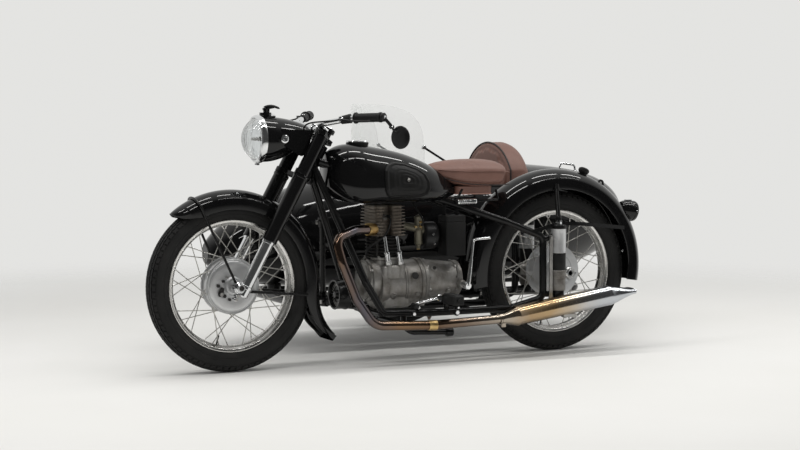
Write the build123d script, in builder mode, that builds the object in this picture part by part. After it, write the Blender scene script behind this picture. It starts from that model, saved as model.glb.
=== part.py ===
"""Sidecar motorcycle: a shaft-driven single with telescopic fork and plunger rear, and a light sidecar."""

import os
from math import asin, cos, radians, sin

from build123d import *

os.makedirs("parts", exist_ok=True)

# Driving sizes, in millimetres. x runs forward, y to the left, z up; the rear axle stands over x = 0,
# the motorcycle's middle plane is y = 0 and the floor is z = 0.
wheelbase = 1365
tyre_radius = 318
tyre_half_width = 43
rim_radius = 242
rim_half_width = 31
rim_bed_radius = 233
rim_well_radius = 226
spoke_diameter = 3.6
spokes_per_set = 9
hub_radius = 96
hub_flange_radius = 103
hub_half_width = 31
brake_plate_radius = 100
axle_diameter = 20
fit_gap = 0.4
running_gap = 0.08

track = 1010
sidecar_wheel_lead = 200

rake = 28.6
yoke_offset = 55
axle_lead = 24
leg_spacing = 95
slider_diameter = 43
lower_cover_diameter = 57
upper_cover_diameter = 50
slider_top = 200
lower_cover_top = 469
fork_top = 634
lower_yoke_height = 480
yoke_thickness = 16
head_diameter = 50
stem_diameter = 26

rail_diameter = 28
rail_spacing = 112
lower_rail_height = 190
rear_upright_lead = 106

front_guard_radius = 352
front_guard_half_width = 60
rear_guard_radius = 405
rear_guard_half_width = 72
side_guard_radius = 362
side_guard_half_width = 66
guard_skirt = 72
guard_wall = 3

tank_half_width = 140
tank_bottom = 612
tunnel_half_width = 48

crank_height = 298
case_radius = 94
cylinder_lead = 745
head_half_length = 70
head_bottom = 483
cylinder_bottom = 402

plunger_lead = 45
plunger_spacing = 125

battery_top = 556
silencer_side = 180
silencer_diameter = 84
pipe_diameter = 36

sidecar_side = 560
body_wall = 5
chassis_diameter = 38
chassis_height = 205
chassis_inner = 315
chassis_outer = 800

footrest_lead = 545
footrest_height = 246
stand_lead = 712
stand_height = 152
stand_reach = 192
stand_pin_diameter = 13

mirror_reach = 412
mirror_diameter = 84
mirror_turn = 25.6
mirror_back = 6
hull_nose = 1262
hull_tail = 652

# The row's own frame has its origin under the middle of the whole outfit.
front_reach = wheelbase + tyre_radius
tail_reach = hull_tail
left_reach = mirror_reach
right_reach = track + side_guard_half_width
row_frame = Location((-(front_reach - tail_reach) / 2, -(left_reach - right_reach) / 2, 0))

lying = (Align.CENTER, Align.CENTER, Align.MIN)
steer_axis = Vector(-sin(radians(rake)), 0, cos(radians(rake)))
steer_forward = Vector(cos(radians(rake)), 0, sin(radians(rake)))
front_axle_point = Vector(wheelbase, 0, tyre_radius)
steer_foot = front_axle_point - steer_forward * (yoke_offset + axle_lead)
fork_plane = Plane(origin=steer_foot, x_dir=steer_forward, z_dir=steer_axis)


def keep(piece, label):
    """Moves a finished piece to the row's frame and writes it under its label."""
    solid = piece.part.moved(row_frame)
    solid.label = label
    export_step(solid, f"parts/{label}.step")


def fork_point(ahead, side, height):
    """A point measured from the steering axis: ahead of it, to the left, and up along it."""
    return steer_foot + steer_forward * ahead + Vector(0, side, 0) + steer_axis * height


def rod(start, end, diameter, mode=Mode.ADD):
    """A straight round bar."""
    start, end = Vector(start), Vector(end)
    with Locations(Plane(origin=start, z_dir=end - start)):
        Cylinder(diameter / 2, (end - start).length, align=lying, mode=mode)


def wire(start, end, diameter):
    """A straight bar with six flats."""
    with BuildSketch(Plane(origin=start, z_dir=end - start)) as section:
        RegularPolygon(diameter / 2, 6)
    extrude(to_extrude=section.sketch, amount=(end - start).length)


def cable(points, diameter):
    """A round cable on a smooth route through its points."""
    with BuildLine() as route:
        Spline(*points)
    with BuildSketch(Plane(origin=route.line @ 0, z_dir=route.line % 0)) as section:
        Circle(diameter / 2)
    sweep(sections=section.sketch, path=route.line)


def tube(points, diameter, bend):
    """A round tube along straight runs joined by arcs of one radius."""
    with BuildLine() as route:
        FilletPolyline(*points, radius=bend)
    with BuildSketch(Plane(origin=route.line @ 0, z_dir=route.line % 0)) as section:
        Circle(diameter / 2)
    sweep(sections=section.sketch, path=route.line)


def block(low, high, rounding=0.0, mode=Mode.ADD):
    """A box between two corners, its upright edges rounded."""
    size = [high[i] - low[i] for i in range(3)]
    with BuildSketch(Plane.XY.offset(low[2])) as base:
        with Locations(((low[0] + high[0]) / 2, (low[1] + high[1]) / 2)):
            if rounding:
                RectangleRounded(size[0], size[1], rounding)
            else:
                Rectangle(size[0], size[1])
    extrude(to_extrude=base.sketch, amount=size[2], mode=mode)


def guard_section(plane, outer_radius, half_width, skirt, wall=guard_wall):
    """A mudguard's bent sheet in section: domed crown and two side skirts."""
    crown = outer_radius - half_width * 0.55
    inside = outer_radius - skirt
    with BuildSketch(plane) as section:
        with BuildLine():
            ThreePointArc((-half_width, crown), (0, outer_radius), (half_width, crown))
            Line((half_width, crown), (half_width, inside))
            Line((half_width, inside), (half_width - wall, inside))
            Line((half_width - wall, inside), (half_width - wall, crown))
            ThreePointArc((half_width - wall, crown), (0, outer_radius - wall), (wall - half_width, crown))
            Line((wall - half_width, crown), (wall - half_width, inside))
            Line((wall - half_width, inside), (-half_width, inside))
            Line((-half_width, inside), (-half_width, crown))
        make_face()
    return section.sketch


def around(centre, degrees):
    """A plane through a wheel's axle: x along the axle, y outwards at an angle from ahead."""
    out = Vector(cos(radians(degrees)), 0, sin(radians(degrees)))
    return Plane(origin=centre, x_dir=(0, 1, 0), z_dir=Vector(0, 1, 0).cross(out))


# Wheels: name, place of the wheel's middle, and the lengths of the hub's axle bosses to the left and right.
wheels = [
    ("front", front_axle_point, 0, 60),
    ("rear", Vector(0, 0, tyre_radius), 62, 52),
    ("sidecar", Vector(sidecar_wheel_lead, -track, tyre_radius), 52, 52),
]
for name, middle, left_boss, right_boss in wheels:
    across = Plane(origin=middle, x_dir=(0, 1, 0), z_dir=(1, 0, 0))
    axle_line = Axis(middle, (0, 1, 0))
    bead = rim_half_width - 4 - fit_gap

    with BuildPart() as tyre:
        with BuildSketch(across):
            with BuildLine():
                shoulder = tyre_radius - 17
                Line((-bead, rim_bed_radius + fit_gap), (bead, rim_bed_radius + fit_gap))
                Line((bead, rim_bed_radius + fit_gap), (bead, rim_radius + 3))
                ThreePointArc((bead, rim_radius + 3), (tyre_half_width, 274), (36, shoulder))
                ThreePointArc((36, shoulder), (0, tyre_radius), (-36, shoulder))
                ThreePointArc((-36, shoulder), (-tyre_half_width, 274), (-bead, rim_radius + 3))
                Line((-bead, rim_radius + 3), (-bead, rim_bed_radius + fit_gap))
            make_face()
        revolve(axis=axle_line)
    keep(tyre, f"{name}_tyre")

    with BuildPart() as hub:
        with BuildSketch(across):
            with BuildLine():
                Polyline(
                    (-hub_half_width - right_boss + hub_half_width, 0),
                    (-right_boss, 19),
                    (-hub_half_width - 6, 24),
                    (-hub_half_width - 4, hub_radius - 22),
                    (-hub_half_width, hub_flange_radius),
                    (-hub_half_width + 6, hub_flange_radius),
                    (-hub_half_width + 6, hub_radius),
                    (hub_half_width - 6, hub_radius),
                    (hub_half_width - 6, hub_flange_radius),
                    (hub_half_width, hub_flange_radius),
                )
                if left_boss:
                    Polyline(
                        (hub_half_width, hub_flange_radius),
                        (hub_half_width + 4, hub_radius - 22),
                        (hub_half_width + 6, 24),
                        (left_boss, 19),
                        (left_boss, 0),
                        (-right_boss, 0),
                    )
                else:
                    Polyline(
                        (hub_half_width, hub_flange_radius),
                        (hub_half_width, hub_radius - 6),
                        (hub_half_width - 30, hub_radius - 6),
                        (hub_half_width - 30, 0),
                        (-right_boss, 0),
                    )
            make_face()
        revolve(axis=axle_line)
        bore_end = Vector(0, 70, 0)
        rod(middle - bore_end, middle + bore_end, axle_diameter + 2 * running_gap, mode=Mode.SUBTRACT)
    keep(hub, f"{name}_hub")

    with BuildPart() as rim:
        with BuildSketch(across):
            with BuildLine():
                Polyline(
                    (-rim_half_width + 4, rim_radius),
                    (-rim_half_width + 4, rim_bed_radius),
                    (-13, rim_bed_radius),
                    (-9, rim_well_radius),
                    (9, rim_well_radius),
                    (13, rim_bed_radius),
                    (rim_half_width - 4, rim_bed_radius),
                    (rim_half_width - 4, rim_radius),
                    (rim_half_width, rim_radius),
                    (rim_half_width, rim_bed_radius - 3),
                    (14, rim_bed_radius - 5),
                    (10, rim_well_radius - 4),
                    (-10, rim_well_radius - 4),
                    (-14, rim_bed_radius - 5),
                    (-rim_half_width, rim_bed_radius - 3),
                    (-rim_half_width, rim_radius),
                    close=True,
                )
            make_face()
        revolve(axis=axle_line)
        # Spokes: side of the hub, angle where the spoke starts, angle by which it leans round to the rim.
        for side, start, lean in [(1, 0, 38), (1, 20, -38), (-1, 10, 38), (-1, 30, -38)]:
            root = Vector(hub_flange_radius - 4, side * (hub_half_width - 3), 0)
            tip = Vector(rim_well_radius - 3, side * 4, 0).rotate(Axis.Y, -lean)
            for turn in range(spokes_per_set):
                angle = start + turn * 360 / spokes_per_set
                wire(middle + root.rotate(Axis.Y, angle), middle + tip.rotate(Axis.Y, angle), spoke_diameter)
        add(hub.part, mode=Mode.SUBTRACT)
    keep(rim, f"{name}_rim")

# Front axle with the brake's fixed plate and its lever.
with BuildPart() as front_axle:
    plate_face = hub_half_width - fit_gap
    with BuildSketch(Plane(origin=front_axle_point, x_dir=(0, 1, 0), z_dir=(1, 0, 0))):
        with BuildLine():
            Polyline(
                (plate_face - 16, 0),
                (plate_face - 16, hub_radius - 8),
                (plate_face + 1, hub_radius - 8),
                (plate_face + 1, brake_plate_radius),
                (plate_face + 5, brake_plate_radius),
                (plate_face + 9, hub_radius - 12),
                (plate_face + 7, 40),
                (plate_face + 12, 26),
                (leg_spacing - 26.5, 20),
                (leg_spacing - 26.5, 0),
                close=True,
            )
        make_face()
    revolve(axis=Axis(front_axle_point, (0, 1, 0)))
    rod(front_axle_point - Vector(0, 119, 0), front_axle_point + Vector(0, 119, 0), axle_diameter)
    rod(front_axle_point + Vector(0, 117, 0), front_axle_point + Vector(0, 125, 0), 30)
    lever_root = front_axle_point + Vector(52, plate_face + 4, -26)
    rod(lever_root, lever_root + Vector(0, 18, 0), 16)
    rod(lever_root + Vector(0, 14, 0), lever_root + Vector(-24, 14, 58), 9)
keep(front_axle, "front_axle")

# Fork sliders, with the forward lugs that clamp the axle.
with BuildPart() as fork_legs:
    for side in (1, -1):
        rod(
            fork_point(yoke_offset, side * leg_spacing, -26),
            fork_point(yoke_offset, side * leg_spacing, slider_top),
            slider_diameter,
        )
        lug = front_axle_point + Vector(0, side * leg_spacing, 0)
        rod(lug - Vector(0, 14, 0), lug + Vector(0, 14, 0), 44)
        rod(lug - Vector(0, 30, 0), lug + Vector(0, 30, 0), axle_diameter + fit_gap, mode=Mode.SUBTRACT)
keep(fork_legs, "fork_legs")

# Painted covers round the fork tubes.
with BuildPart() as fork_covers:
    for side in (1, -1):
        for low, high, diameter in [
            (slider_top, lower_cover_top, lower_cover_diameter),
            (lower_cover_top, fork_top, upper_cover_diameter),
        ]:
            rod(
                fork_point(yoke_offset, side * leg_spacing, low),
                fork_point(yoke_offset, side * leg_spacing, high),
                diameter,
            )
        for low, high in [(lower_cover_top - 12, lower_cover_top)]:
            rod(
                fork_point(yoke_offset, side * leg_spacing, low),
                fork_point(yoke_offset, side * leg_spacing, high),
                lower_cover_diameter + 3,
            )
keep(fork_covers, "fork_covers")

# Upper and lower yokes on the steering stem.
head_bottom_height = lower_yoke_height + yoke_thickness / 2 + 1
head_top_height = fork_top - 12
with BuildPart() as fork_yokes:
    stem_top = fork_point(0, 0, fork_top + yoke_thickness)
    rod(fork_point(0, 0, lower_yoke_height - 6), stem_top, stem_diameter)
    for height, gap in [
        (lower_yoke_height - yoke_thickness / 2, upper_cover_diameter / 2),
        (fork_top + fit_gap, 0),
    ]:
        with BuildSketch(fork_plane.offset(height)) as outline:
            with BuildLine():
                arm = leg_spacing
                ThreePointArc((yoke_offset, arm + 30), (yoke_offset + 30, arm), (yoke_offset, arm - 30))
                Line((yoke_offset, arm - 30), (yoke_offset - 20, 0))
                Line((yoke_offset - 20, 0), (yoke_offset, 30 - arm))
                ThreePointArc((yoke_offset, 30 - arm), (yoke_offset + 30, -arm), (yoke_offset, -arm - 30))
                Line((yoke_offset, -arm - 30), (-6, -32))
                ThreePointArc((-6, -32), (-32, 0), (-6, 32))
                Line((-6, 32), (yoke_offset, arm + 30))
            make_face()
        extrude(to_extrude=outline.sketch, amount=yoke_thickness)
        if gap:
            for side in (1, -1):
                rod(
                    fork_point(yoke_offset, side * arm, height - 1),
                    fork_point(yoke_offset, side * arm, height + yoke_thickness + 1),
                    2 * gap + 4,
                    mode=Mode.SUBTRACT,
                )
    for side in (1, -1):
        rod(
            fork_point(yoke_offset, side * leg_spacing, fork_top + yoke_thickness),
            fork_point(yoke_offset, side * leg_spacing, fork_top + yoke_thickness + 10),
            30,
        )
    rod(stem_top, stem_top + steer_axis * 34, 30)
    rod(stem_top + steer_axis * 26, stem_top + steer_axis * 40, 46)
keep(fork_yokes, "fork_yokes")

# Headlamp: one shell from the rim back to between the fork covers.
lamp_height = 853
lamp_front = 1262
lamp_radius = 86
with BuildPart() as headlamp_shell:
    # Sections: x, height of the middle, half width, half height.
    for x, middle, wide, tall in [
        (lamp_front - 18, lamp_height, lamp_radius - 2, lamp_radius - 2),
        (1190, 853, 84, 80),
        (1120, 861, 72, 60),
        (1066, 868, 56, 34),
    ]:
        with BuildSketch(Plane(origin=(x, 0, middle), x_dir=(0, 1, 0), z_dir=(1, 0, 0))):
            Ellipse(wide, tall)
    loft()
    for side in (1, -1):
        with BuildSketch(Plane(origin=(0, side * 66, 0), x_dir=(1, 0, 0), z_dir=(0, -1, 0))):
            with BuildLine():
                Polyline((1190, 890), (1064, 884), (1090, 800), (1110, 790), (1180, 828), close=True)
            make_face()
        extrude(amount=-side * 14)
    for side in (1, -1):
        rod((1183, side * 60, 854), (1183, side * 90, 854), 28)
    for side in (1, -1):
        rod(
            fork_point(yoke_offset, side * leg_spacing, lower_cover_top),
            fork_point(yoke_offset, side * leg_spacing, fork_top + 1),
            upper_cover_diameter + 2 * fit_gap,
            mode=Mode.SUBTRACT,
        )
    rod((1222, 0, 930), (1222, 0, 950), 44)
    rod((1222, 0, 948), (1222, 0, 962), 16)
    rod((1232, 0, 962), (1188, 0, 970), 9)
keep(headlamp_shell, "headlamp_shell")

lens_radius = lamp_radius - 9
lens_rise = 46
lens_sphere = (lens_radius**2 + lens_rise**2) / (2 * lens_rise)
with BuildPart() as headlamp_rim:
    with BuildSketch(Plane(origin=(lamp_front, 0, lamp_height), x_dir=(1, 0, 0), z_dir=(0, -1, 0))):
        with BuildLine():
            Polyline(
                (-18 + fit_gap, lens_radius),
                (-18 + fit_gap, lamp_radius + 1),
                (-6, lamp_radius + 3),
                (6, lamp_radius - 5),
                (6, lens_radius),
                close=True,
            )
        make_face()
    revolve(axis=Axis((0, 0, lamp_height), (1, 0, 0)))
    catch = Vector(lamp_front - 8, 0, lamp_height - lamp_radius - 1)
    rod(catch, catch - Vector(0, 0, 9), 9)
keep(headlamp_rim, "headlamp_rim")

with BuildPart() as headlamp_lens:
    edge = lens_radius - fit_gap
    sphere_middle = 4 + lens_rise - lens_sphere
    half_turn = 0.5 * asin(edge / lens_sphere)
    with BuildSketch(Plane(origin=(lamp_front, 0, lamp_height), x_dir=(1, 0, 0), z_dir=(0, -1, 0))):
        with BuildLine():
            rim_reach = sphere_middle + lens_sphere * cos(2 * half_turn)
            Polyline((rim_reach, edge), (-17, edge), (-17, 0), (sphere_middle + lens_sphere, 0))
            ThreePointArc(
                (sphere_middle + lens_sphere, 0),
                (sphere_middle + lens_sphere * cos(half_turn), lens_sphere * sin(half_turn)),
                (rim_reach, edge),
            )
        make_face()
    revolve(axis=Axis((0, 0, lamp_height), (1, 0, 0)))
keep(headlamp_lens, "headlamp_lens")

# Front mudguard: an arc round the wheel, its tail flared out by a second arc, and its stays.
guard_middle = front_axle_point
tail_angle = 185
flare_radius = 206
flare_turn = 50
with BuildPart() as front_mudguard:
    section = guard_section(around(guard_middle, 50), front_guard_radius, front_guard_half_width, guard_skirt)
    revolve(profiles=section, axis=Axis(guard_middle, (0, -1, 0)), revolution_arc=tail_angle - 50)
    flare_middle = guard_middle + Vector(
        (front_guard_radius + flare_radius) * cos(radians(tail_angle)),
        0,
        (front_guard_radius + flare_radius) * sin(radians(tail_angle)),
    )
    section = guard_section(
        around(guard_middle, tail_angle), front_guard_radius, front_guard_half_width, guard_skirt
    )
    revolve(profiles=section, axis=Axis(flare_middle, (0, 1, 0)), revolution_arc=flare_turn)
    with BuildSketch(Plane(origin=(0, 100, 0), x_dir=(1, 0, 0), z_dir=(0, -1, 0))):
        with BuildLine():
            Polyline((1092, 202), (936, 106), (900, -60), (1400, -60), (1400, 202), close=True)
        make_face()
        with BuildLine():
            Polyline((1592, 586), (1536, 572), (1474, 568), (1474, 470), (1640, 470), close=True)
        make_face()
    extrude(amount=200, mode=Mode.SUBTRACT)
    for side in (1, -1):
        edge = front_guard_half_width + 3.5
        rod((1370, side * (leg_spacing - 19.4), 332), (1487, side * edge, 588), 10)
        rod((1487, side * edge, 588), (1498, side * edge, 618), 10)
        rod((1346, side * (leg_spacing - 27.9), 302), (1075, side * edge, 275), 12)
keep(front_mudguard, "front_mudguard")

# Handlebar: swept back, with its levers and a switch.
bar_diameter = 22
bar_end = Vector(908, 332, 934)
bar_bend = Vector(972, 222, 930)
bar_rise = Vector(1052, 118, 908)
bar_root = Vector(1020, 40, 888)
bar_bore = 16
bar_bore_depth = 40
with BuildPart() as handlebar:
    half = [bar_end, bar_bend, bar_rise, bar_root]
    other = [Vector(p.X, -p.Y, p.Z) for p in half]
    tube([*half, *reversed(other)], bar_diameter, 32)
    inward = (other[1] - other[0]).normalized()
    rod(other[0] + inward * bar_bore_depth, other[0], bar_bore, mode=Mode.SUBTRACT)
    for side in (1, -1):
        clamp = Vector(1020, side * 26, 872)
        rod(clamp, clamp + Vector(0, 0, 18), 26)
        hold = Vector(987, side * 196, 928)
        rod(hold, hold + Vector(26, 8 * side, -2), 26)
        rod(hold + Vector(24, 6 * side, -2), Vector(952, side * 330, 922), 9)
    add(fork_yokes.part, mode=Mode.SUBTRACT)
keep(handlebar, "handlebar")

with BuildPart() as handlebar_grips:
    for side in (1, -1):
        start = Vector(bar_bend.X, side * bar_bend.Y, bar_bend.Z)
        end = Vector(bar_end.X, side * bar_end.Y, bar_end.Z)
        along = (end - start).normalized()
        rod(start + along * 14, end + along * 4, 34)
        rod(start + along * 14, start + along * 20, 42)
    add(handlebar.part, mode=Mode.SUBTRACT)
    rod(other[0] + inward * (bar_bore_depth + 2), other[0] - inward * 6, bar_diameter - 2, mode=Mode.SUBTRACT)
keep(handlebar_grips, "handlebar_grips")

with BuildPart() as mirror_piece:
    along = (bar_end - bar_bend).normalized()
    stub = bar_end + along * 5
    rod(stub, stub + along * 12, 32)
    knee = Vector(878, 352, 902)
    rod(stub + along * 6, knee, 12)
    hang = Vector(862, 366, 878)
    rod(knee, hang, 8)
    facing = Vector(cos(radians(mirror_turn)), sin(radians(mirror_turn)), 0)
    mirror_side = mirror_reach - mirror_diameter / 2 * facing.X - mirror_back * facing.Y
    disc = Vector(850, mirror_side, 862)
    rod(disc - facing * 4, disc + facing * mirror_back, mirror_diameter)
    rod(hang, disc + facing * 2, 8)
keep(mirror_piece, "mirror")

# Control cables from the lever perches to the headlamp shell.
cable_diameter = 6
with BuildPart() as control_cables:
    for side in (1, -1):
        route = [(1012, 199, 925), (1046, 178, 919), (1080, 135, 915), (1101, 98, 905), (1098, 72, 880)]
        cable([(x, side * y, z) for x, y, z in route], cable_diameter)
    add(handlebar.part, mode=Mode.SUBTRACT)
    add(headlamp_shell.part, mode=Mode.SUBTRACT)
keep(control_cables, "control_cables")

# Duplex frame: two tube loops, the steering head and the lugs of the plungers and the engine.
downtube_top = Vector(1040, 26, 745)
with BuildPart() as main_frame:
    loop = [
        downtube_top,
        Vector(868, 108, 318),
        Vector(796, rail_spacing, lower_rail_height + 8),
        Vector(600, rail_spacing, lower_rail_height),
        Vector(250, rail_spacing, lower_rail_height),
        Vector(rear_upright_lead, rail_spacing, 224),
        Vector(rear_upright_lead, rail_spacing - 2, 462),
        Vector(260, 100, 524),
        Vector(600, 34, 640),
        Vector(1022, 26, 768),
    ]
    for side in (1, -1):
        tube([Vector(p.X, side * p.Y, p.Z) for p in loop], rail_diameter, 34)
    rod(fork_point(0, 0, head_bottom_height), fork_point(0, 0, head_top_height), head_diameter)
    rod(
        fork_point(0, 0, head_bottom_height - 1),
        fork_point(0, 0, head_top_height + 1),
        stem_diameter + 2 * fit_gap,
        mode=Mode.SUBTRACT,
    )
    for x, height in [(806, lower_rail_height + 6), (422, lower_rail_height)]:
        rod((x, -rail_spacing, height), (x, rail_spacing, height), 24)
    rod((372, -80, 562), (372, 80, 562), 22)
    for x, side in [(460, 61), (510, 51)]:
        rod((x, side, battery_top + 44), (x, side, battery_top), 14)
    for side in (1, -1):
        rod((stand_lead, side * rail_spacing, lower_rail_height), (stand_lead, side * 108, stand_height), 24)
    rod((stand_lead, -108, stand_height), (stand_lead, 108, stand_height), stand_pin_diameter)
    for side in (1, -1):
        # Lugs: height, height of the tube's end, half thickness and diameter of the ring round the unit.
        for height, root, half_ring, wide in [(472, 452, 13.3, 54), (238, 238, 12.3, 46)]:
            lug = Vector(plunger_lead, side * plunger_spacing, height)
            rod((rear_upright_lead, side * rail_spacing, root), lug, 24)
            rod(lug - Vector(0, 0, half_ring), lug + Vector(0, 0, half_ring), wide)
keep(main_frame, "main_frame")

# Plunger units between the frame's upper and lower lugs, with the clamps that hold the rear axle.
with BuildPart() as rear_plungers:
    for side in (1, -1):
        foot = Vector(plunger_lead, side * plunger_spacing, 0)
        for low, high, diameter in [
            (252, 331, 52),
            (331, 400, 48),
            (400, 458, 52),
            (486, 492, 52),
            (486, 519, 22),
        ]:
            rod(foot + Vector(0, 0, low), foot + Vector(0, 0, high), diameter)
        rod((plunger_lead, side * (plunger_spacing - 4), 318), (0, side * (plunger_spacing - 4), 318), 34)
        rod((0, side * (plunger_spacing - 24), 318), (0, side * (plunger_spacing + 12), 318), 44)
    add(main_frame.part, mode=Mode.SUBTRACT)
    rod((0, -142, 318), (0, 142, 318), axle_diameter)
    for side in (1, -1):
        rod((0, side * 62.5, 318), (0, side * 102, 318), 30)
keep(rear_plungers, "rear_plungers")

# Rear mudguard with its stays and the pillion's rubber rest.
with BuildPart() as rear_mudguard:
    rear_middle = Vector(0, 0, tyre_radius)
    section = guard_section(around(rear_middle, -8), rear_guard_radius, rear_guard_half_width, 80)
    revolve(profiles=section, axis=Axis(rear_middle, (0, -1, 0)), revolution_arc=196)
    for side in (1, -1):
        edge = rear_guard_half_width + 3
        rod((plunger_lead, side * plunger_spacing, 530), (plunger_lead, side * edge, 650), 18)
        rod((plunger_lead, side * plunger_spacing, 519.4), (plunger_lead, side * plunger_spacing, 538), 24)
        rod((plunger_lead, side * plunger_spacing, 530), (-290, side * edge, 482), 14)
    rod((-141, 0, 690), (-141, 0, 712), 22)
    rod((-141, 0, 708), (-149, 0, 732), 46)
keep(rear_mudguard, "rear_mudguard")

with BuildPart() as tail_lamp:
    rod((-330, 0, 548), (-402, 0, 548), 88)
    rod((0, -60, 318), (0, 60, 318), 2 * rear_guard_radius + 2 * fit_gap, mode=Mode.SUBTRACT)
keep(tail_lamp, "tail_lamp")

# Fuel tank: a loft over the frame's upper tubes, with a tunnel below and the tool pocket behind the
# left knee pad.
with BuildPart() as fuel_tank:
    # Sections: x, bottom, top, half width.
    for x, low, high, wide in [
        (984, 672, 800, 52),
        (940, 632, 822, 104),
        (820, tank_bottom, 822, tank_half_width),
        (660, tank_bottom - 2, 786, tank_half_width - 8),
        (540, tank_bottom, 732, 104),
        (470, 630, 690, 60),
    ]:
        with BuildSketch(Plane(origin=(x, 0, 0), x_dir=(0, 1, 0), z_dir=(1, 0, 0))):
            with BuildLine():
                tall = high - low
                foot, widest = 0.7 * wide, low + 0.42 * tall
                Line((-foot, low), (foot, low))
                ThreePointArc((foot, low), (0.94 * wide, low + 0.12 * tall), (wide, widest))
                ThreePointArc((wide, widest), (0.72 * wide, low + 0.84 * tall), (0, high))
                ThreePointArc((0, high), (-0.72 * wide, low + 0.84 * tall), (-wide, widest))
                ThreePointArc((-wide, widest), (-0.94 * wide, low + 0.12 * tall), (-foot, low))
            make_face()
    loft()
    with BuildSketch(Plane(origin=(0, tunnel_half_width, 0), x_dir=(1, 0, 0), z_dir=(0, -1, 0))):
        with BuildLine():
            Polyline(
                (400, 500), (400, 640), (590, 664), (1022, 768 + 26), (1080, 812), (1080, 500), close=True
            )
        make_face()
    extrude(amount=2 * tunnel_half_width, mode=Mode.SUBTRACT)
    block((400, -tunnel_half_width - 32, 500), (610, tunnel_half_width + 32, 648), mode=Mode.SUBTRACT)
    rod(fork_point(0, 0, 400), fork_point(0, 0, 700), 92, mode=Mode.SUBTRACT)
    block((640, 75, 652), (770, 160, 742), mode=Mode.SUBTRACT)
keep(fuel_tank, "fuel_tank")

with BuildPart() as tank_cap:
    rod((852, 0, 812), (852, 0, 832), 78)
    rod((852, 0, 832), (852, 0, 846), 86)
    add(fuel_tank.part, mode=Mode.SUBTRACT)
keep(tank_cap, "tank_cap")

# Knee pads; the left one is the tool pocket's lid, hinged along its lower edge.
pad_outline = [(607, 665), (622, 640), (680, 631), (790, 631), (803, 650), (803, 745), (770, 769), (690, 760)]
for side, label in [(1, "tool_lid"), (-1, "knee_pad")]:
    with BuildPart() as pad:
        with BuildSketch(Plane(origin=(0, side * 160, 0), x_dir=(1, 0, 0), z_dir=(0, -1, 0))):
            with BuildLine():
                FilletPolyline(*pad_outline, radius=14, close=True)
            make_face()
        extrude(amount=side * 40)
        add(fuel_tank.part.moved(Location((0, side * 12, 0))), mode=Mode.INTERSECT)
        add(fuel_tank.part.moved(Location((0, side * fit_gap, 0))), mode=Mode.SUBTRACT)
        add(fuel_tank.part, mode=Mode.SUBTRACT)
    keep(pad, label)

# Engine and gearbox in one block: the crankshaft lies along the machine.
with BuildPart() as engine_case:
    front_disc = 836
    case_front = 788
    rear_face = 606
    with BuildSketch(Plane(origin=(rear_face, 0, crank_height), x_dir=(0, 1, 0), z_dir=(1, 0, 0))):
        Circle(case_radius)
    extrude(amount=case_front - rear_face)
    with BuildSketch(Plane(origin=(case_front, 0, crank_height + 18), x_dir=(0, 1, 0), z_dir=(1, 0, 0))):
        Circle(case_radius - 10)
    extrude(amount=front_disc - case_front)
    block((660, -78, lower_rail_height + 20), (786, 78, crank_height), 20)
    block((682, -66, crank_height), (806, 66, cylinder_bottom), 30)
    with BuildSketch(Plane(origin=(rear_face, 0, crank_height), x_dir=(0, 1, 0), z_dir=(1, 0, 0))):
        Circle(case_radius - 3)
    with BuildSketch(Plane(origin=(436, 0, crank_height + 8), x_dir=(0, 1, 0), z_dir=(1, 0, 0))):
        Circle(70)
    loft()
keep(engine_case, "engine_case")

# Cylinder barrel with its cast fins.
with BuildPart() as cylinder:
    rod((cylinder_lead, 0, cylinder_bottom + fit_gap), (cylinder_lead, 0, head_bottom), 104)
    for step in range(6):
        height = cylinder_bottom + 8 + step * 12.5
        rod((cylinder_lead, 0, height), (cylinder_lead, 0, height + 4), 136)
keep(cylinder, "cylinder")

# Cylinder head: a block of fins, slotted where the pushrods come up.
with BuildPart() as cylinder_head:
    low = head_bottom + fit_gap
    block((cylinder_lead - 56, -56, low), (cylinder_lead + 56, 56, 600), 20)
    for step in range(10):
        height = low + 1 + step * 12
        rear, front = cylinder_lead - head_half_length, cylinder_lead + head_half_length
        block((rear, -72, height), (front, 72, height + 4), 26)
    block((746, 56.1, 470), (758, 90, 620), mode=Mode.SUBTRACT)
keep(cylinder_head, "cylinder_head")

with BuildPart() as pushrod_tubes:
    for x in (722, 768):
        rod((x, 80, 352), (x, 80, 420), 22)
        rod((x, 80, 420), (x, 80, head_bottom), 12)
    add(engine_case.part, mode=Mode.SUBTRACT)
keep(pushrod_tubes, "pushrod_tubes")

# Carburettor: slide chamber over its float bowl, with the inlet stub.
with BuildPart() as carburettor:
    rod((626, 40, 470), (626, 40, 560), 36)
    rod((626, 40, 425), (626, 40, 476), 46)
    rod((673, 20, 520), (600, 40, 500), 38)
    add(cylinder_head.part, mode=Mode.SUBTRACT)
keep(carburettor, "carburettor")

with BuildPart() as air_filter:
    rod((540, 30, 478), (598, 30, 478), 104)
    add(carburettor.part, mode=Mode.SUBTRACT)
keep(air_filter, "air_filter")

with BuildPart() as battery_box:
    block((442, 28, 402), (528, 106, battery_top), 6)
keep(battery_box, "battery_box")

# Exhaust pipe from the port at the head's front left, and the silencer with its flat tail.
port = Vector(804, 52, 510)
with BuildPart() as exhaust_pipe:
    tube(
        [
            port,
            Vector(905, 96, 512),
            Vector(1002, 138, 486),
            Vector(985, 160, 400),
            Vector(930, 165, 262),
            Vector(858, 168, 160),
            Vector(620, silencer_side - 6, 150),
            Vector(300, silencer_side, 160),
        ],
        pipe_diameter,
        38,
    )
    rod(port + Vector(4, 2, 0), port + Vector(46, 20, 1), 48)
    add(cylinder_head.part, mode=Mode.SUBTRACT)
keep(exhaust_pipe, "exhaust_pipe")

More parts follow.
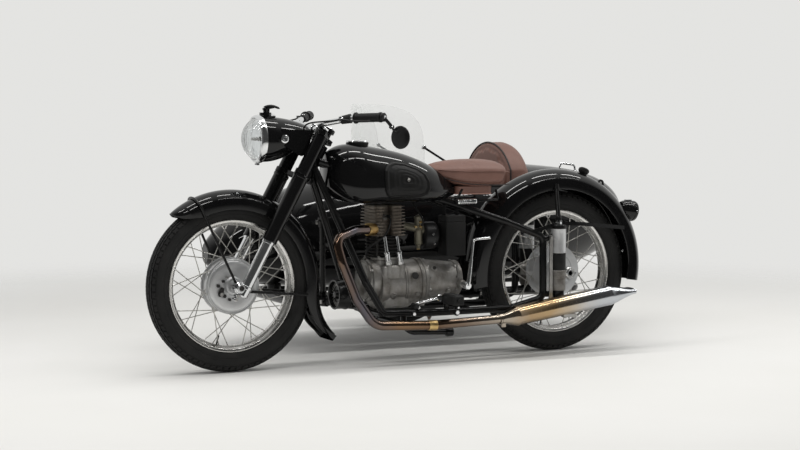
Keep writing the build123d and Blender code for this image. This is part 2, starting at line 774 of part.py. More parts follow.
with BuildPart() as silencer:
    start = Vector(330, silencer_side, 159)
    rise = Vector(-606, 0, 82).normalized()
    along = Plane(origin=start, x_dir=(0, 1, 0), z_dir=rise)
    # Sections along the silencer: distance, half width, half height.
    for reach, wide, tall in [(0, 20, 20), (60, 42, 42)]:
        with BuildSketch(along.offset(reach)):
            Ellipse(wide, tall)
    loft()
    with BuildSketch(along.offset(60)):
        Circle(silencer_diameter / 2)
    extrude(amount=430)
    with BuildSketch(along.offset(490)):
        Circle(silencer_diameter / 2)
    with BuildSketch(along.offset(612)):
        Ellipse(46, 14)
    loft()
    add(exhaust_pipe.part, mode=Mode.SUBTRACT)
keep(silencer, "silencer")

# Hanger: a flat bar from the upper plunger lug down to the silencer.
with BuildPart() as silencer_hanger:
    hanger_lead = 83
    hanger_side = plunger_spacing + 5
    block((hanger_lead - 10, hanger_side, 206), (hanger_lead + 10, hanger_side + 6, 470))
    rod((hanger_lead, rail_spacing, 458), (hanger_lead, hanger_side + 12, 458), 12)
    rod((hanger_lead, hanger_side + 1, 214), (hanger_lead, silencer_side - 20, 200), 16)
    add(silencer.part, mode=Mode.SUBTRACT)
    add(main_frame.part, mode=Mode.SUBTRACT)
keep(silencer_hanger, "silencer_hanger")

# Kick starter, gear lever and brake pedal.
with BuildPart() as foot_controls:
    rod((446, 56, 292), (446, 128, 286), 22)
    tube([Vector(446, 122, 286), Vector(424, 128, 462), Vector(352, 130, 468)], 14, 16)
    add(engine_case.part, mode=Mode.SUBTRACT)
    rod((582, 50, 250), (582, 158, 250), 18)
    rod((582, 152, 250), (688, 160, 234), 10)
    rod((688, 142, 226), (688, 182, 226), 20)
    rod((610, -112, 190), (610, -160, 190), 20)
    rod((610, -154, 190), (760, -158, 168), 12)
    rod((752, -176, 176), (752, -128, 176), 24)
    add(engine_case.part, mode=Mode.SUBTRACT)
    add(main_frame.part, mode=Mode.SUBTRACT)
keep(foot_controls, "foot_controls")

with BuildPart() as footrests:
    for side in (1, -1):
        rod((528, side * rail_spacing, lower_rail_height), (footrest_lead, side * 126, footrest_height), 20)
        rod((footrest_lead, side * 118, footrest_height), (footrest_lead, side * 250, footrest_height), 18)
        block(
            (footrest_lead - 23, side * 196 - 50, footrest_height - 19),
            (footrest_lead + 23, side * 196 + 50, footrest_height + 19),
            8,
        )
    add(main_frame.part, mode=Mode.SUBTRACT)
keep(footrests, "footrests")

with BuildPart() as horn:
    rod((892, -20, 262), (942, -20, 262), 118)
    rod((884, -20, 262), (892, -20, 262), 80)
    rod((866, -20, 262), (884, -20, 262), 26)
    rod((874, -20, 262), (834, -108, 262), 12)
    add(engine_case.part, mode=Mode.SUBTRACT)
    add(main_frame.part, mode=Mode.SUBTRACT)
keep(horn, "horn")

# Sprung saddle.
with BuildPart() as saddle:
    # Sections: x, bottom, top, half width.
    for x, low, high, wide in [
        (572, 722, 745, 34),
        (520, 694, 752, 74),
        (430, 668, 764, 118),
        (330, 662, 766, 138),
        (262, 664, 752, 132),
    ]:
        with BuildSketch(Plane(origin=(x, 0, 0), x_dir=(0, 1, 0), z_dir=(1, 0, 0))):
            with Locations((0, (low + high) / 2)):
                RectangleRounded(2 * wide, high - low, 0.3 * (high - low))
    loft()
    add(fuel_tank.part, mode=Mode.SUBTRACT)
    add(rear_mudguard.part, mode=Mode.SUBTRACT)
keep(saddle, "saddle")

with BuildPart() as saddle_springs:
    block((270, -84, 640), (440, 84, 661), 20)
    for side in (1, -1):
        rod((300, side * 96, 612), (476, side * 84, 606), 10)
        for step in range(8):
            rod((330 + step * 11, side * 94, 612), (335 + step * 11, side * 94, 612), 34)
        rod((476, side * 84, 606), (446, side * 78, 656), 10)
        rod((300, side * 96, 612), (300, side * 80, 650), 10)
    add(rear_mudguard.part, mode=Mode.SUBTRACT)
    add(main_frame.part, mode=Mode.SUBTRACT)
keep(saddle_springs, "saddle_springs")

# Shaft drive on the right, with the bevel box behind the wheel's hub.
with BuildPart() as final_drive:
    rod((0, -66, 318), (0, -98, 318), 148)
    rod((0, -98, 318), (0, -112, 318), 96)
    rod((448, -94, 300), (60, -94, 318), 32)
    rod((452, -36, 296), (452, -98, 300), 40)
    add(rear_plungers.part, mode=Mode.SUBTRACT)
    add(main_frame.part, mode=Mode.SUBTRACT)
    add(engine_case.part, mode=Mode.SUBTRACT)
keep(final_drive, "final_drive")

# Centre stand, folded up under the lower rails.
stand_pivot = Vector(stand_lead, 0, stand_height)
with BuildPart() as centre_stand:
    for side in (1, -1):
        eye = stand_pivot + Vector(0, side * 78, 0)
        knee = stand_pivot + Vector(-32, side * 112, -32)
        foot = stand_pivot + Vector(-stand_reach, side * 112, -40)
        tube([eye, knee, foot], 22, 16)
        rod(foot + Vector(14, 0, 0), foot + Vector(-16, 0, 0), 36)
    rod(stand_pivot - Vector(0, 94, 0), stand_pivot + Vector(0, 94, 0), 24)
    pin_end = Vector(0, 120, 0)
    rod(stand_pivot - pin_end, stand_pivot + pin_end, stand_pin_diameter + 2 * fit_gap, mode=Mode.SUBTRACT)
keep(centre_stand, "centre_stand")

# Sidecar body: a boat-shaped shell, open at the cockpit.
# Sections: x, bottom, top, half width.
hull = [
    (hull_nose, 350, 430, 34),
    (1190, 300, 500, 118),
    (1000, 252, 606, 200),
    (780, 236, 676, 254),
    (560, 230, 724, 282),
    (300, 230, 742, 290),
    (0, 232, 735, 288),
    (-250, 250, 715, 258),
    (-450, 300, 686, 196),
    (-600, 380, 620, 108),
    (-hull_tail, 440, 560, 44),
]
cockpit_front = 520
cockpit_rear = -128
cockpit_half_width = 238
hull_forms = []
for inset in (0, body_wall):
    with BuildPart() as form:
        for x, low, high, wide in hull:
            keel = low + 0.46 * (high - low)
            end_inset = inset * (1 if x > 0 else -1) if x in (hull_nose, -hull_tail) else 0
            with BuildSketch(
                Plane(origin=(x - end_inset, -sidecar_side, keel), x_dir=(0, 1, 0), z_dir=(1, 0, 0))
            ):
                with BuildLine():
                    EllipticalCenterArc(
                        (0, 0), wide - inset, high - keel - inset, start_angle=0, arc_size=180
                    )
                    EllipticalCenterArc(
                        (0, 0), wide - inset, keel - low - inset, start_angle=180, arc_size=180
                    )
                make_face()
        loft()
    hull_forms.append(form.part)

# Sidecar chassis: a tube frame round the body, four links to the motorcycle and the wheel's stub axle.
with BuildPart() as sidecar_chassis:
    corners = [
        Vector(980, -chassis_inner, chassis_height),
        Vector(980, -chassis_outer, chassis_height),
        Vector(-330, -chassis_outer, chassis_height),
        Vector(-330, -chassis_inner, chassis_height),
    ]
    middle = Vector(600, -chassis_inner, chassis_height)
    tube([middle, *corners, middle + Vector(-0.01, 0, 0)], chassis_diameter, 90)
    rod((sidecar_wheel_lead, -chassis_inner, chassis_height), (sidecar_wheel_lead, -930, chassis_height), 44)
    rod((sidecar_wheel_lead, -900, chassis_height), (sidecar_wheel_lead, -926, tyre_radius), 44)
    rod((sidecar_wheel_lead, -905, tyre_radius), (sidecar_wheel_lead, -957, tyre_radius), 46)
    rod((sidecar_wheel_lead, -950, tyre_radius), (sidecar_wheel_lead, -1066, tyre_radius), axle_diameter)
    # Links: point on the chassis, point on the frame, diameter.
    links = [
        ((880, -chassis_inner, chassis_height), (790, -rail_spacing - 12, 206), 30),
        ((120, -chassis_inner, chassis_height), (250, -rail_spacing - 12, 192), 30),
        ((860, -chassis_inner, chassis_height), (962, -80, 560), 24),
        ((180, -chassis_inner, chassis_height), (262, -118, 516), 24),
    ]
    for start, end, diameter in links:
        rod(start, end, diameter)
    for x in (980 - 12, sidecar_wheel_lead, -330 + 12):
        rod((x, -sidecar_side, chassis_height), (x, -sidecar_side, 300), 56)
    add(hull_forms[0].moved(Location((0, 0, -0.3))), mode=Mode.SUBTRACT)
    add(main_frame.part, mode=Mode.SUBTRACT)
keep(sidecar_chassis, "sidecar_chassis")

# Bench and bulkhead inside the shell: the seat's board and the board behind the backrest.
with BuildPart() as bench:
    block((20, -sidecar_side - 300, 370), (440, -sidecar_side + 300, 380))
    block((-125, -sidecar_side - 300, 200), (-115, -sidecar_side + 300, 640))
    add(hull_forms[1], mode=Mode.INTERSECT)
with BuildPart() as sidecar_body:
    add(hull_forms[0])
    add(hull_forms[1], mode=Mode.SUBTRACT)
    add(bench.part)
    with BuildSketch(Plane.XY.offset(640)):
        with BuildLine():
            Polyline(
                (cockpit_front - 150, -sidecar_side - cockpit_half_width),
                (cockpit_rear, -sidecar_side - cockpit_half_width),
                (cockpit_rear, -sidecar_side + cockpit_half_width),
                (cockpit_front - 150, -sidecar_side + cockpit_half_width),
            )
            ThreePointArc(
                (cockpit_front - 150, -sidecar_side + cockpit_half_width),
                (cockpit_front, -sidecar_side),
                (cockpit_front - 150, -sidecar_side - cockpit_half_width),
            )
        make_face()
    extrude(amount=200, mode=Mode.SUBTRACT)
keep(sidecar_body, "sidecar_body")

# Seat and backrest in the cockpit.
with BuildPart() as sidecar_seat:
    block((30, -sidecar_side - 215, 380), (430, -sidecar_side + 215, 500), 60)
keep(sidecar_seat, "sidecar_seat")

with BuildPart() as sidecar_backrest:
    with BuildSketch(Plane(origin=(-115, -sidecar_side, 0), x_dir=(0, 1, 0), z_dir=(1, 0, 0))):
        with BuildLine():
            Line((-195, 520), (195, 520))
            Line((195, 520), (195, 700))
            ThreePointArc((195, 700), (0, 818), (-195, 700))
            Line((-195, 700), (-195, 520))
        make_face()
    extrude(amount=105)
keep(sidecar_backrest, "sidecar_backrest")

# Windscreen: a bent clear sheet round the cockpit's front, with its side stays.
with BuildPart() as sidecar_windscreen:
    with BuildSketch(Plane.XY.offset(690)):
        with BuildLine():
            ThreePointArc((400, -338), (606, -sidecar_side), (400, -782))
            Line((400, -782), (394, -782))
            ThreePointArc((394, -782), (600, -sidecar_side), (394, -338))
            Line((394, -338), (400, -338))
        make_face()
    extrude(amount=290)
    with BuildSketch(Plane(origin=(390, -sidecar_side, 0), x_dir=(0, 1, 0), z_dir=(1, 0, 0))):
        with BuildLine():
            Line((-260, 600), (260, 600))
            Line((260, 600), (232, 860))
            ThreePointArc((232, 860), (0, 980), (-232, 860))
            Line((-232, 860), (-260, 600))
        make_face()
    extrude(amount=260, mode=Mode.INTERSECT)
    add(hull_forms[0], mode=Mode.SUBTRACT)
keep(sidecar_windscreen, "sidecar_windscreen")

# Stays from the screen's edges back to the cockpit's sides.
with BuildPart() as screen_stays:
    for side in (1, -1):
        rod((403, -sidecar_side + side * 221, 804), (118, -sidecar_side + side * 221, 636), 9)
    add(hull_forms[0], mode=Mode.SUBTRACT)
    add(sidecar_windscreen.part, mode=Mode.SUBTRACT)
keep(screen_stays, "screen_stays")

# Lifting handle on the rear deck.
with BuildPart() as deck_handle:
    handle = [(-364, 676), (-368, 722), (-440, 712), (-444, 660)]
    tube([(x, -sidecar_side, z) for x, z in handle], 9, 12)
    add(hull_forms[0], mode=Mode.SUBTRACT)
keep(deck_handle, "deck_handle")

# Mudguard over the sidecar's wheel, on stays from its axle tube.
with BuildPart() as sidecar_mudguard:
    side_middle = Vector(sidecar_wheel_lead, -track, tyre_radius)
    section = guard_section(around(side_middle, 5), side_guard_radius, side_guard_half_width, 84)
    revolve(profiles=section, axis=Axis(side_middle, (0, -1, 0)), revolution_arc=182)
    for angle in (40, 140):
        reach = side_guard_radius - 60
        rod(
            (sidecar_wheel_lead + 12 * cos(radians(angle)), -920, tyre_radius + 20),
            (
                sidecar_wheel_lead + reach * cos(radians(angle)),
                -track + side_guard_half_width + 3,
                tyre_radius + reach * sin(radians(angle)),
            ),
            14,
        )
    add(sidecar_chassis.part, mode=Mode.SUBTRACT)
keep(sidecar_mudguard, "sidecar_mudguard")

with BuildPart() as sidecar_lamp:
    upward = Vector(65, 0, 356).normalized()
    post_foot = side_middle + upward * (side_guard_radius + 0.3)
    lamp_middle = side_middle + upward * (side_guard_radius + 42)
    rod(post_foot, lamp_middle, 18)
    rod(lamp_middle - Vector(35, 0, 0), lamp_middle + Vector(35, 0, 0), 56)
keep(sidecar_lamp, "sidecar_lamp")
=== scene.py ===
import math

import bmesh
import bpy
import numpy as np
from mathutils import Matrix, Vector


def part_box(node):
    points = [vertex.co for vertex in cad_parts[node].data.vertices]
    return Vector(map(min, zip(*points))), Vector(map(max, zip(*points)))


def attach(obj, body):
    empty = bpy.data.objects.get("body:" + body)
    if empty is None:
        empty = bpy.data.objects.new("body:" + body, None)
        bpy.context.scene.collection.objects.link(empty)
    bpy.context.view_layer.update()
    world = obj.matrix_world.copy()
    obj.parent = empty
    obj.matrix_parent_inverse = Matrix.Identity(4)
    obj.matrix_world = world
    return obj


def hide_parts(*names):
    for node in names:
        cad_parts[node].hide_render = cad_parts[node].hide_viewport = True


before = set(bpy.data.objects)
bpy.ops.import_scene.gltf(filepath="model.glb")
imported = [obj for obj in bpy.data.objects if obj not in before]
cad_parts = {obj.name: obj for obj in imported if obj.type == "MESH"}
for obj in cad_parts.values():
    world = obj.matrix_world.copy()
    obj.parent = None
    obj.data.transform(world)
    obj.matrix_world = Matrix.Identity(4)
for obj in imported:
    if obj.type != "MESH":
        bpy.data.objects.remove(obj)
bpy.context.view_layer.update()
print("frame loaded with", len(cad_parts), "nodes")

# Places are in metres from the floor under the rear axle: x ahead, y to the left, z up.
rearLow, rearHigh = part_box("rear_tyre")
origin = np.array([(rearLow.x + rearHigh.x) / 2, (rearLow.y + rearHigh.y) / 2, 0.0])
ahead, sideways, up = np.eye(3)
both, hand = (1, -1), {1: "Left", -1: "Right"}
bends = {"reach": 0.48, "straight": 1.56, "least": 1e-5}
edges = {"rod": 0.0006, "slab": 0.001, "box": 0.0015, "boxCorner": 0.004}
weld = {"piece": 2e-6, "template": 1e-6}
upright = 0.9


def vec(*numbers):
    return np.array(numbers, float)


def unit(v):
    return np.asarray(v, float) / np.linalg.norm(v)


def polar(degrees, radius=1.0):
    a = math.radians(degrees)
    return radius * math.cos(a), radius * math.sin(a)


def turn(v, axis, degrees):  # v turned about an axis
    (c, s), k = polar(degrees), unit(axis)
    return v * c + np.cross(k, v) * s + k * (v @ k) * (1 - c)


def crosswise(axis):
    return unit(np.cross(axis, up if abs(axis[2]) < upright else ahead))


def ringAngles(steps):
    return np.linspace(0, 2 * math.pi, steps, endpoint=False)


def grid(rows, closedRows=False, caps=True):  # a shape is its points and its faces, here rings joined one to the next
    rows = np.asarray(rows, float)
    count, around = rows.shape[:2]
    faces = []
    for i in range(count - (not closedRows)):
        k = (i + 1) % count
        for j in range(around):
            m = (j + 1) % around
            faces.append((i * around + j, i * around + m, k * around + m, k * around + j))
    if caps and not closedRows:
        faces += [tuple(range(around - 1, -1, -1)), tuple((count - 1) * around + j for j in range(around))]
    return rows.reshape(-1, 3), faces


def revolved(profile, centre, axis=sideways, steps=96):  # rows of along and radius; open when it starts on the axis
    axis = unit(axis)
    across = crosswise(axis)
    other, angles = np.cross(axis, across), ringAngles(steps)
    rows = [np.asarray(centre, float) + axis * along
        + radius * (np.outer(np.cos(angles), across) + np.outer(np.sin(angles), other)) for along, radius in profile]
    return grid(rows, closedRows=profile[0][1] > 0, caps=False)


def frames(path):
    heading = np.gradient(np.asarray(path, float), axis=0)
    heading = heading / np.linalg.norm(heading, axis=1)[:, None]
    side, across = crosswise(heading[0]), []
    for h in heading:
        side = unit(side - h * (side @ h))
        across.append(side)
    return np.array(across), np.cross(heading, across)


def bent(points, bend, arcSteps=8):  # straight runs joined by arcs
    points = [np.asarray(p, float) for p in points]
    path = [points[0]]
    for before, corner, after in zip(points, points[1:], points[2:]):
        u, v = unit(before - corner), unit(after - corner)
        half = math.acos(max(-1, min(1, u @ v))) / 2
        room = bends["reach"] * min(np.linalg.norm(before - corner), np.linalg.norm(after - corner))
        reach = min(bend / math.tan(half), room) if half < bends["straight"] else 0
        if reach < bends["least"]:
            path.append(corner)
            continue
        radius = reach * math.tan(half)
        middle = corner + unit(u + v) * radius / math.sin(half)
        a, b = corner + u * reach - middle, corner + v * reach - middle
        sweep = math.acos(max(-1, min(1, (a @ b) / (radius * radius))))
        for step in np.linspace(0, 1, arcSteps + 1):
            mix = (math.sin((1 - step) * sweep) * a + math.sin(step * sweep) * b) / math.sin(sweep)
            path.append(middle + mix)
    return np.array([*path, points[-1]])


def spline(x, y, t):  # natural cubic through the points (x, y), read at t
    x, y, t = (np.asarray(a, float) for a in (x, y, t))
    n, h = len(x), np.diff(x)
    matrix, right = np.eye(n), np.zeros(n)
    for i in range(1, n - 1):
        matrix[i, i - 1:i + 2] = h[i - 1], 2 * (h[i - 1] + h[i]), h[i]
        right[i] = 6 * ((y[i + 1] - y[i]) / h[i] - (y[i] - y[i - 1]) / h[i - 1])
    m = np.linalg.solve(matrix, right)
    k = np.clip(np.searchsorted(x, t) - 1, 0, n - 2)
    a, b = x[k + 1] - t, t - x[k]
    return ((m[k] * a**3 + m[k + 1] * b**3) / (6 * h[k]) + (y[k] / h[k] - m[k] * h[k] / 6) * a
        + (y[k + 1] / h[k] - m[k + 1] * h[k] / 6) * b)


def smoothPath(points, count):  # a soft curve through a few points
    points = np.asarray(points, float)
    knots = np.concatenate([[0], np.cumsum(np.linalg.norm(np.diff(points, axis=0), axis=1) ** 0.5)])
    t = np.linspace(0, knots[-1], count)
    return np.stack([spline(knots, points[:, i], t) for i in range(3)], axis=1)


def taper(count, shares, sizes):  # radii along a path, given at some shares of it
    return np.interp(np.linspace(0, 1, count), shares, sizes)


def swept(path, radius, sides=16, flat=1.0):  # a round or flattened tube; radius is one number or one for each point
    angles = ringAngles(sides)
    return grid([p + r * (np.outer(np.cos(angles), s) + flat * np.outer(np.sin(angles), o)) for p, r, s,
        o in zip(path, np.broadcast_to(radius, len(path)), *frames(path))])


def rod(start, end, diameter, endDiameter=None, sides=24, edge=edges["rod"]):
    start, end = np.asarray(start, float), np.asarray(end, float)
    length = np.linalg.norm(end - start)
    a, b = diameter / 2, (endDiameter or diameter) / 2
    edge = min(edge, length / 4, a / 2, b / 2)
    profile = [(0, 0), (0, a - edge), (edge, a), (length - edge, b), (length, b - edge), (length, 0)]
    return revolved(profile, start, end - start, sides)


def slab(outline, thickness, corner, across, upward, edge=edges["slab"]):  # a flat outline made thick
    outline = np.asarray(outline, float)
    area = 0.5 * np.sum(outline[:, 0] * np.roll(outline[:, 1], -1) - np.roll(outline[:, 0], -1) * outline[:, 1])
    if area < 0:
        outline = outline[::-1]
    before, after = outline - np.roll(outline, 1, axis=0), np.roll(outline, -1, axis=0) - outline
    inward = [unit(vec(-(a + b)[1], (a + b)[0])) for a, b in zip(map(unit, before), map(unit, after))]
    inset = outline + edge * np.array(inward)
    across, upward = unit(across), unit(upward)
    out = np.cross(across, upward)
    return grid([np.asarray(corner) + shape[:, :1] * across + shape[:, 1:] * upward + out * depth for shape,
        depth in [(inset, 0), (outline, edge), (outline, thickness - edge), (inset, thickness)]])


def rounded(points, radius, steps=6):  # a flat outline with its corners rounded
    points = [np.append(np.asarray(p, float), 0.0) for p in points]
    return bent([points[-1], *points, points[0]], radius, steps)[1:-1, :2]


def rectangle(low, high):
    return [(low[0], low[1]), (high[0], low[1]), (high[0], high[1]), (low[0], high[1])]


def box(low, high, rounding=edges["boxCorner"], edge=edges["box"]):
    low, high = np.asarray(low, float), np.asarray(high, float)
    outline = rounded(rectangle((0, 0), high - low), rounding)
    return slab(outline, high[2] - low[2], low, ahead, sideways, edge)


def hexagon(place, axis, width, thick, edge=edges["rod"]):  # a nut or bolt head across its flats
    axis = unit(axis)
    across = crosswise(axis)
    outline = [(width / 1.732 * math.cos(a), width / 1.732 * math.sin(a)) for a in np.arange(6) * math.pi / 3]
    return slab(outline, thick, place, across, np.cross(axis, across), edge)


def meshOf(name, points, faces, merge=0.0):
    mesh = bpy.data.meshes.new(name)
    mesh.from_pydata(np.asarray(points).tolist(), [], faces)
    work = bmesh.new()
    work.from_mesh(mesh)
    if merge:
        bmesh.ops.remove_doubles(work, verts=work.verts, dist=merge)
    bmesh.ops.recalc_face_normals(work, faces=work.faces)
    work.to_mesh(mesh)
    work.free()
    return mesh


def placed(name, data):
    thing = bpy.data.objects.new(name, data)
    bpy.context.scene.collection.objects.link(thing)
    return thing


def evaluated(thing):
    bpy.context.view_layer.update()
    return bpy.data.meshes.new_from_object(thing.evaluated_get(bpy.context.evaluated_depsgraph_get()))


def readPoints(mesh, source="vertices", label="co"):
    values = np.empty(len(mesh.vertices) * 3)
    getattr(mesh, source).foreach_get(label, values)
    return values.reshape(-1, 3)


def piece(name, shapes, finish, sharp=38, node=None, body="frame"):  # one object made of several shapes
    points, faces, offset = [], [], 0
    for shapePoints, shapeFaces in shapes:
        points.append(np.asarray(shapePoints, float) + origin)
        faces += [tuple(i + offset for i in face) for face in shapeFaces]
        offset += len(shapePoints)
    return dress(placed(name, meshOf(name, np.concatenate(points), faces, weld["piece"])), finish, sharp, node, body)


def dress(thing, finish, sharp=38, node=None, body="frame"):  # finish, edges and body of a new object
    thing.data.materials.clear()
    thing.data.materials.append(finishes[finish])
    thing.data.shade_smooth()
    thing.data.set_sharp_from_angle(angle=math.radians(sharp))
    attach(thing, body)
    if node:
        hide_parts(node)
    return thing


def addNode(tree, kind, inputs=(), **settings):  # an input is a number or another node's output
    node = tree.nodes.new(kind)
    for label, value in settings.items():
        setattr(node, label, value)
    feed(tree, node, inputs)
    return node


def feed(tree, node, inputs):
    for label, value in dict(inputs).items():
        if isinstance(value, bpy.types.NodeSocket):
            tree.links.new(value, node.inputs[label])
        else:
            node.inputs[label].default_value = value


def newTree(name, kind, given, results):
    tree = bpy.data.node_groups.new(name, kind)
    for label, socketKind, value in given:
        socket = tree.interface.new_socket(label, in_out="INPUT", socket_type="NodeSocket" + socketKind)
        if value is not None:
            socket.default_value = value
    for label, socketKind in results:
        tree.interface.new_socket(label, in_out="OUTPUT", socket_type="NodeSocket" + socketKind)
    return tree, tree.nodes.new("NodeGroupInput").outputs, tree.nodes.new("NodeGroupOutput")


def paintResult(tree, shape, given, result):
    paint = addNode(tree, "GeometryNodeSetMaterial", {"Geometry": shape, "Material": given["Finish"]})
    feed(tree, result, {"Geometry": paint.outputs["Geometry"]})
    return tree


def repeatTree():  # puts a template on marked points
    tree, given, result = newTree("repeatOnPoints", "GeometryNodeTree",
        [("Geometry", "Geometry", None), ("Template", "Object", None), ("Size", "Float", 1.0),
        ("Finish", "Material", None)], [("Geometry", "Geometry")])
    facing, across, stretch = (addNode(tree, "GeometryNodeInputNamedAttribute", {"Name": label},
        data_type="FLOAT_VECTOR").outputs["Attribute"] for label in ("facing", "across", "stretch"))
    template = addNode(tree, "GeometryNodeObjectInfo", {"Object": given["Template"]})
    axes = addNode(tree, "FunctionNodeAxesToRotation", {"Primary Axis": facing, "Secondary Axis": across},
        primary_axis="Z", secondary_axis="X")
    scale = addNode(tree, "ShaderNodeVectorMath", {0: stretch, "Scale": given["Size"]}, operation="SCALE")
    place = addNode(tree, "GeometryNodeInstanceOnPoints",
        {"Points": given["Geometry"], "Instance": template.outputs["Geometry"], "Rotation": axes.outputs["Rotation"],
        "Scale": scale.outputs["Vector"]})
    real = addNode(tree, "GeometryNodeRealizeInstances", {"Geometry": place.outputs["Instances"]})
    return paintResult(tree, real.outputs["Geometry"], given, result)


def springTree():  # winds a spring
    tree, given, result = newTree("windSpring", "GeometryNodeTree",
        [("Turns", "Float", 8.0), ("Radius", "Float", 0.015), ("Length", "Float", 0.09), ("Wire", "Float", 0.002),
        ("Finish", "Material", None)], [("Geometry", "Geometry")])
    spiral = addNode(tree, "GeometryNodeCurveSpiral",
        {"Resolution": 20, "Rotations": given["Turns"], "Start Radius": given["Radius"],
        "End Radius": given["Radius"], "Height": given["Length"]})
    wire = addNode(tree, "GeometryNodeCurvePrimitiveCircle", {"Resolution": 8, "Radius": given["Wire"]})
    body = addNode(tree, "GeometryNodeCurveToMesh",
        {"Fill Caps": True, "Curve": spiral.outputs["Curve"], "Profile Curve": wire.outputs["Curve"]})
    return paintResult(tree, body.outputs["Mesh"], given, result)


repeatOnPoints, windSpring = repeatTree(), springTree()


def baked(data, tree, values):  # the tree's result as a plain mesh
    carrier = placed("carrier", data)
    modifier = carrier.modifiers.new("shape", "NODES")
    modifier.node_group = tree
    for item in tree.interface.items_tree:
        if item.in_out == "INPUT" and item.name in values:
            modifier[item.identifier] = values[item.name]
    mesh = evaluated(carrier)
    bpy.data.objects.remove(carrier)
    return mesh


def repeat(name, template, marks, finish, sharp=38, body="frame"):  # marks: place, facing, across, stretch if any
    model = bpy.data.objects.new("template", meshOf("template", *template, weld["template"]))
    data = bpy.data.meshes.new("marks")
    data.from_pydata([(np.asarray(m[0]) + origin).tolist() for m in marks], [], [])
    for column, label in enumerate(("facing", "across", "stretch"), 1):
        values = [m[column] if len(m) > column else (1, 1, 1) for m in marks]
        attribute = data.attributes.new(label, "FLOAT_VECTOR", "POINT")
        attribute.data.foreach_set("vector", np.asarray(values, np.float32).ravel())
    mesh = baked(data, repeatOnPoints, {"Template": model, "Finish": finishes[finish]})
    bpy.data.objects.remove(model)
    return dress(placed(name, mesh), finish, sharp, None, body)


def mirrored(points):  # the same outline from its end back, on the other side of the middle
    return [(-across, along) for across, along in reversed(points)]


def boltCircle(middle, radius, count, first, axis):  # marks on a ring about x or y
    marks = []
    for k in range(count):
        c, s = polar(first + 360 / count * k)
        out = vec(0, c, s) if abs(axis[0]) else vec(c, 0, s)
        marks.append((middle + out * radius, axis, out))
    return marks


def spring(name, start, end, values, finish):
    start, end = np.asarray(start, float), np.asarray(end, float)
    mesh = baked(bpy.data.meshes.new("empty"), windSpring,
        {**values, "Length": np.linalg.norm(end - start), "Finish": finishes[finish]})
    lift = unit(end - start)
    side = crosswise(lift)
    turned = np.stack([side, np.cross(lift, side), lift])
    mesh.vertices.foreach_set("co", (readPoints(mesh) @ turned + start + origin).ravel())
    return dress(placed(name, mesh), finish)


def newFinish(name, roughness, metallic=0.0, **sockets):
    material = bpy.data.materials.new(name)
    material.use_nodes = True
    tree = material.node_tree
    shader = tree.nodes["Principled BSDF"]
    feed(tree, shader, {"Roughness": roughness, "Metallic": metallic})
    feed(tree, shader, {label.replace("_", " "): value for label, value in sockets.items()})
    return material, tree, shader


def maths(tree, operation, a, b):
    return addNode(tree, "ShaderNodeMath", {0: a, 1: b}, operation=operation).outputs[0]


def objectPlace(tree):
    return addNode(tree, "ShaderNodeTexCoord").outputs["Object"]


def noise(tree, where, scale, detail=4.0, roughness=0.55):
    return addNode(tree, "ShaderNodeTexNoise",
        {"Detail": detail, "Roughness": roughness, "Scale": scale, "Vector": where}).outputs["Fac"]


def ramp(tree, factor, *stops):  # stops: position and colour, or one number for a grey
    node = addNode(tree, "ShaderNodeValToRGB", {"Fac": factor})
    elements = node.color_ramp.elements
    while len(elements) < len(stops):
        elements.new(0.5)
    for element, (position, colour) in zip(elements, stops):
        element.position = position
        element.color = (*colour, 1) if isinstance(colour, tuple) else (colour, colour, colour, 1)
    return node.outputs["Color"]


def span(tree, factor, low, high, start=0.0, end=1.0, **settings):  # a mask turned into a range of numbers
    return addNode(tree, "ShaderNodeMapRange",
        {"Value": factor, "To Min": low, "To Max": high, "From Min": start, "From Max": end},
        **settings).outputs["Result"]


def mixed(tree, factor, first, second):
    return addNode(tree, "ShaderNodeMixShader", {"Fac": factor, 1: first.outputs[0], 2: second.outputs[0]})


stage = {"floorColour": (0.81, 0.805, 0.792), "floorDark": (0.96, 0.96, 0.95), "floorSize": 40, "floorFrom": 1.9,
    "floorTo": 4.4, "stain": 0.9, "backColour": (0.775, 0.774, 0.757), "darkSide": 0.07, "dark": (-0.15, 0.5),
    "darkFrom": 0.4, "skyColour": (1, 1, 0.985, 1), "skyLight": 0.66}
softbox = {"rows": (0.1, 1.5), "panels": 5, "length": 1.1, "width": 0.12, "gap": 1.35, "height": 3.3, "power": 10,
    "colour": (1, 0.99, 0.97)}
camera = {"standsAt": (3.66488, 6.22374, 1.0033), "yaw": 25.675, "pitch": 4.014, "focal": 1810.9, "photoWidth": 800,
    "sensor": 36, "farEnd": 200}


def makeFloor():
    mesh, far = bpy.data.meshes.new("floor"), stage["floorSize"]
    mesh.from_pydata([(x, y, 0) for x, y in rectangle((-far, -far), (far, far))], [], [(0, 1, 2, 3)])
    floor = placed("studioFloor", mesh)
    paint, tree, shader = newFinish("paleFloor", 0.75, Specular_IOR_Level=0.25)
    where = objectPlace(tree)
    tone, dark = stage["floorColour"], stage["floorDark"]
    stain = noise(tree, where, stage["stain"], 6, 0.5)
    shaded = tuple(a * b for a, b in zip(tone, dark))
    feed(tree, shader, {"Base Color": ramp(tree, stain, (0.3, shaded), (0.7, tone))})
    reach = addNode(tree, "ShaderNodeVectorMath", {0: where}, operation="LENGTH").outputs["Value"]
    fade = span(tree, reach, 0.0, 1.0, stage["floorFrom"], stage["floorTo"], interpolation_type="SMOOTHSTEP")
    blend = mixed(tree, fade, shader, addNode(tree, "ShaderNodeBsdfTransparent"))
    feed(tree, tree.nodes["Material Output"], {"Surface": blend.outputs[0]})
    floor.data.materials.append(paint)


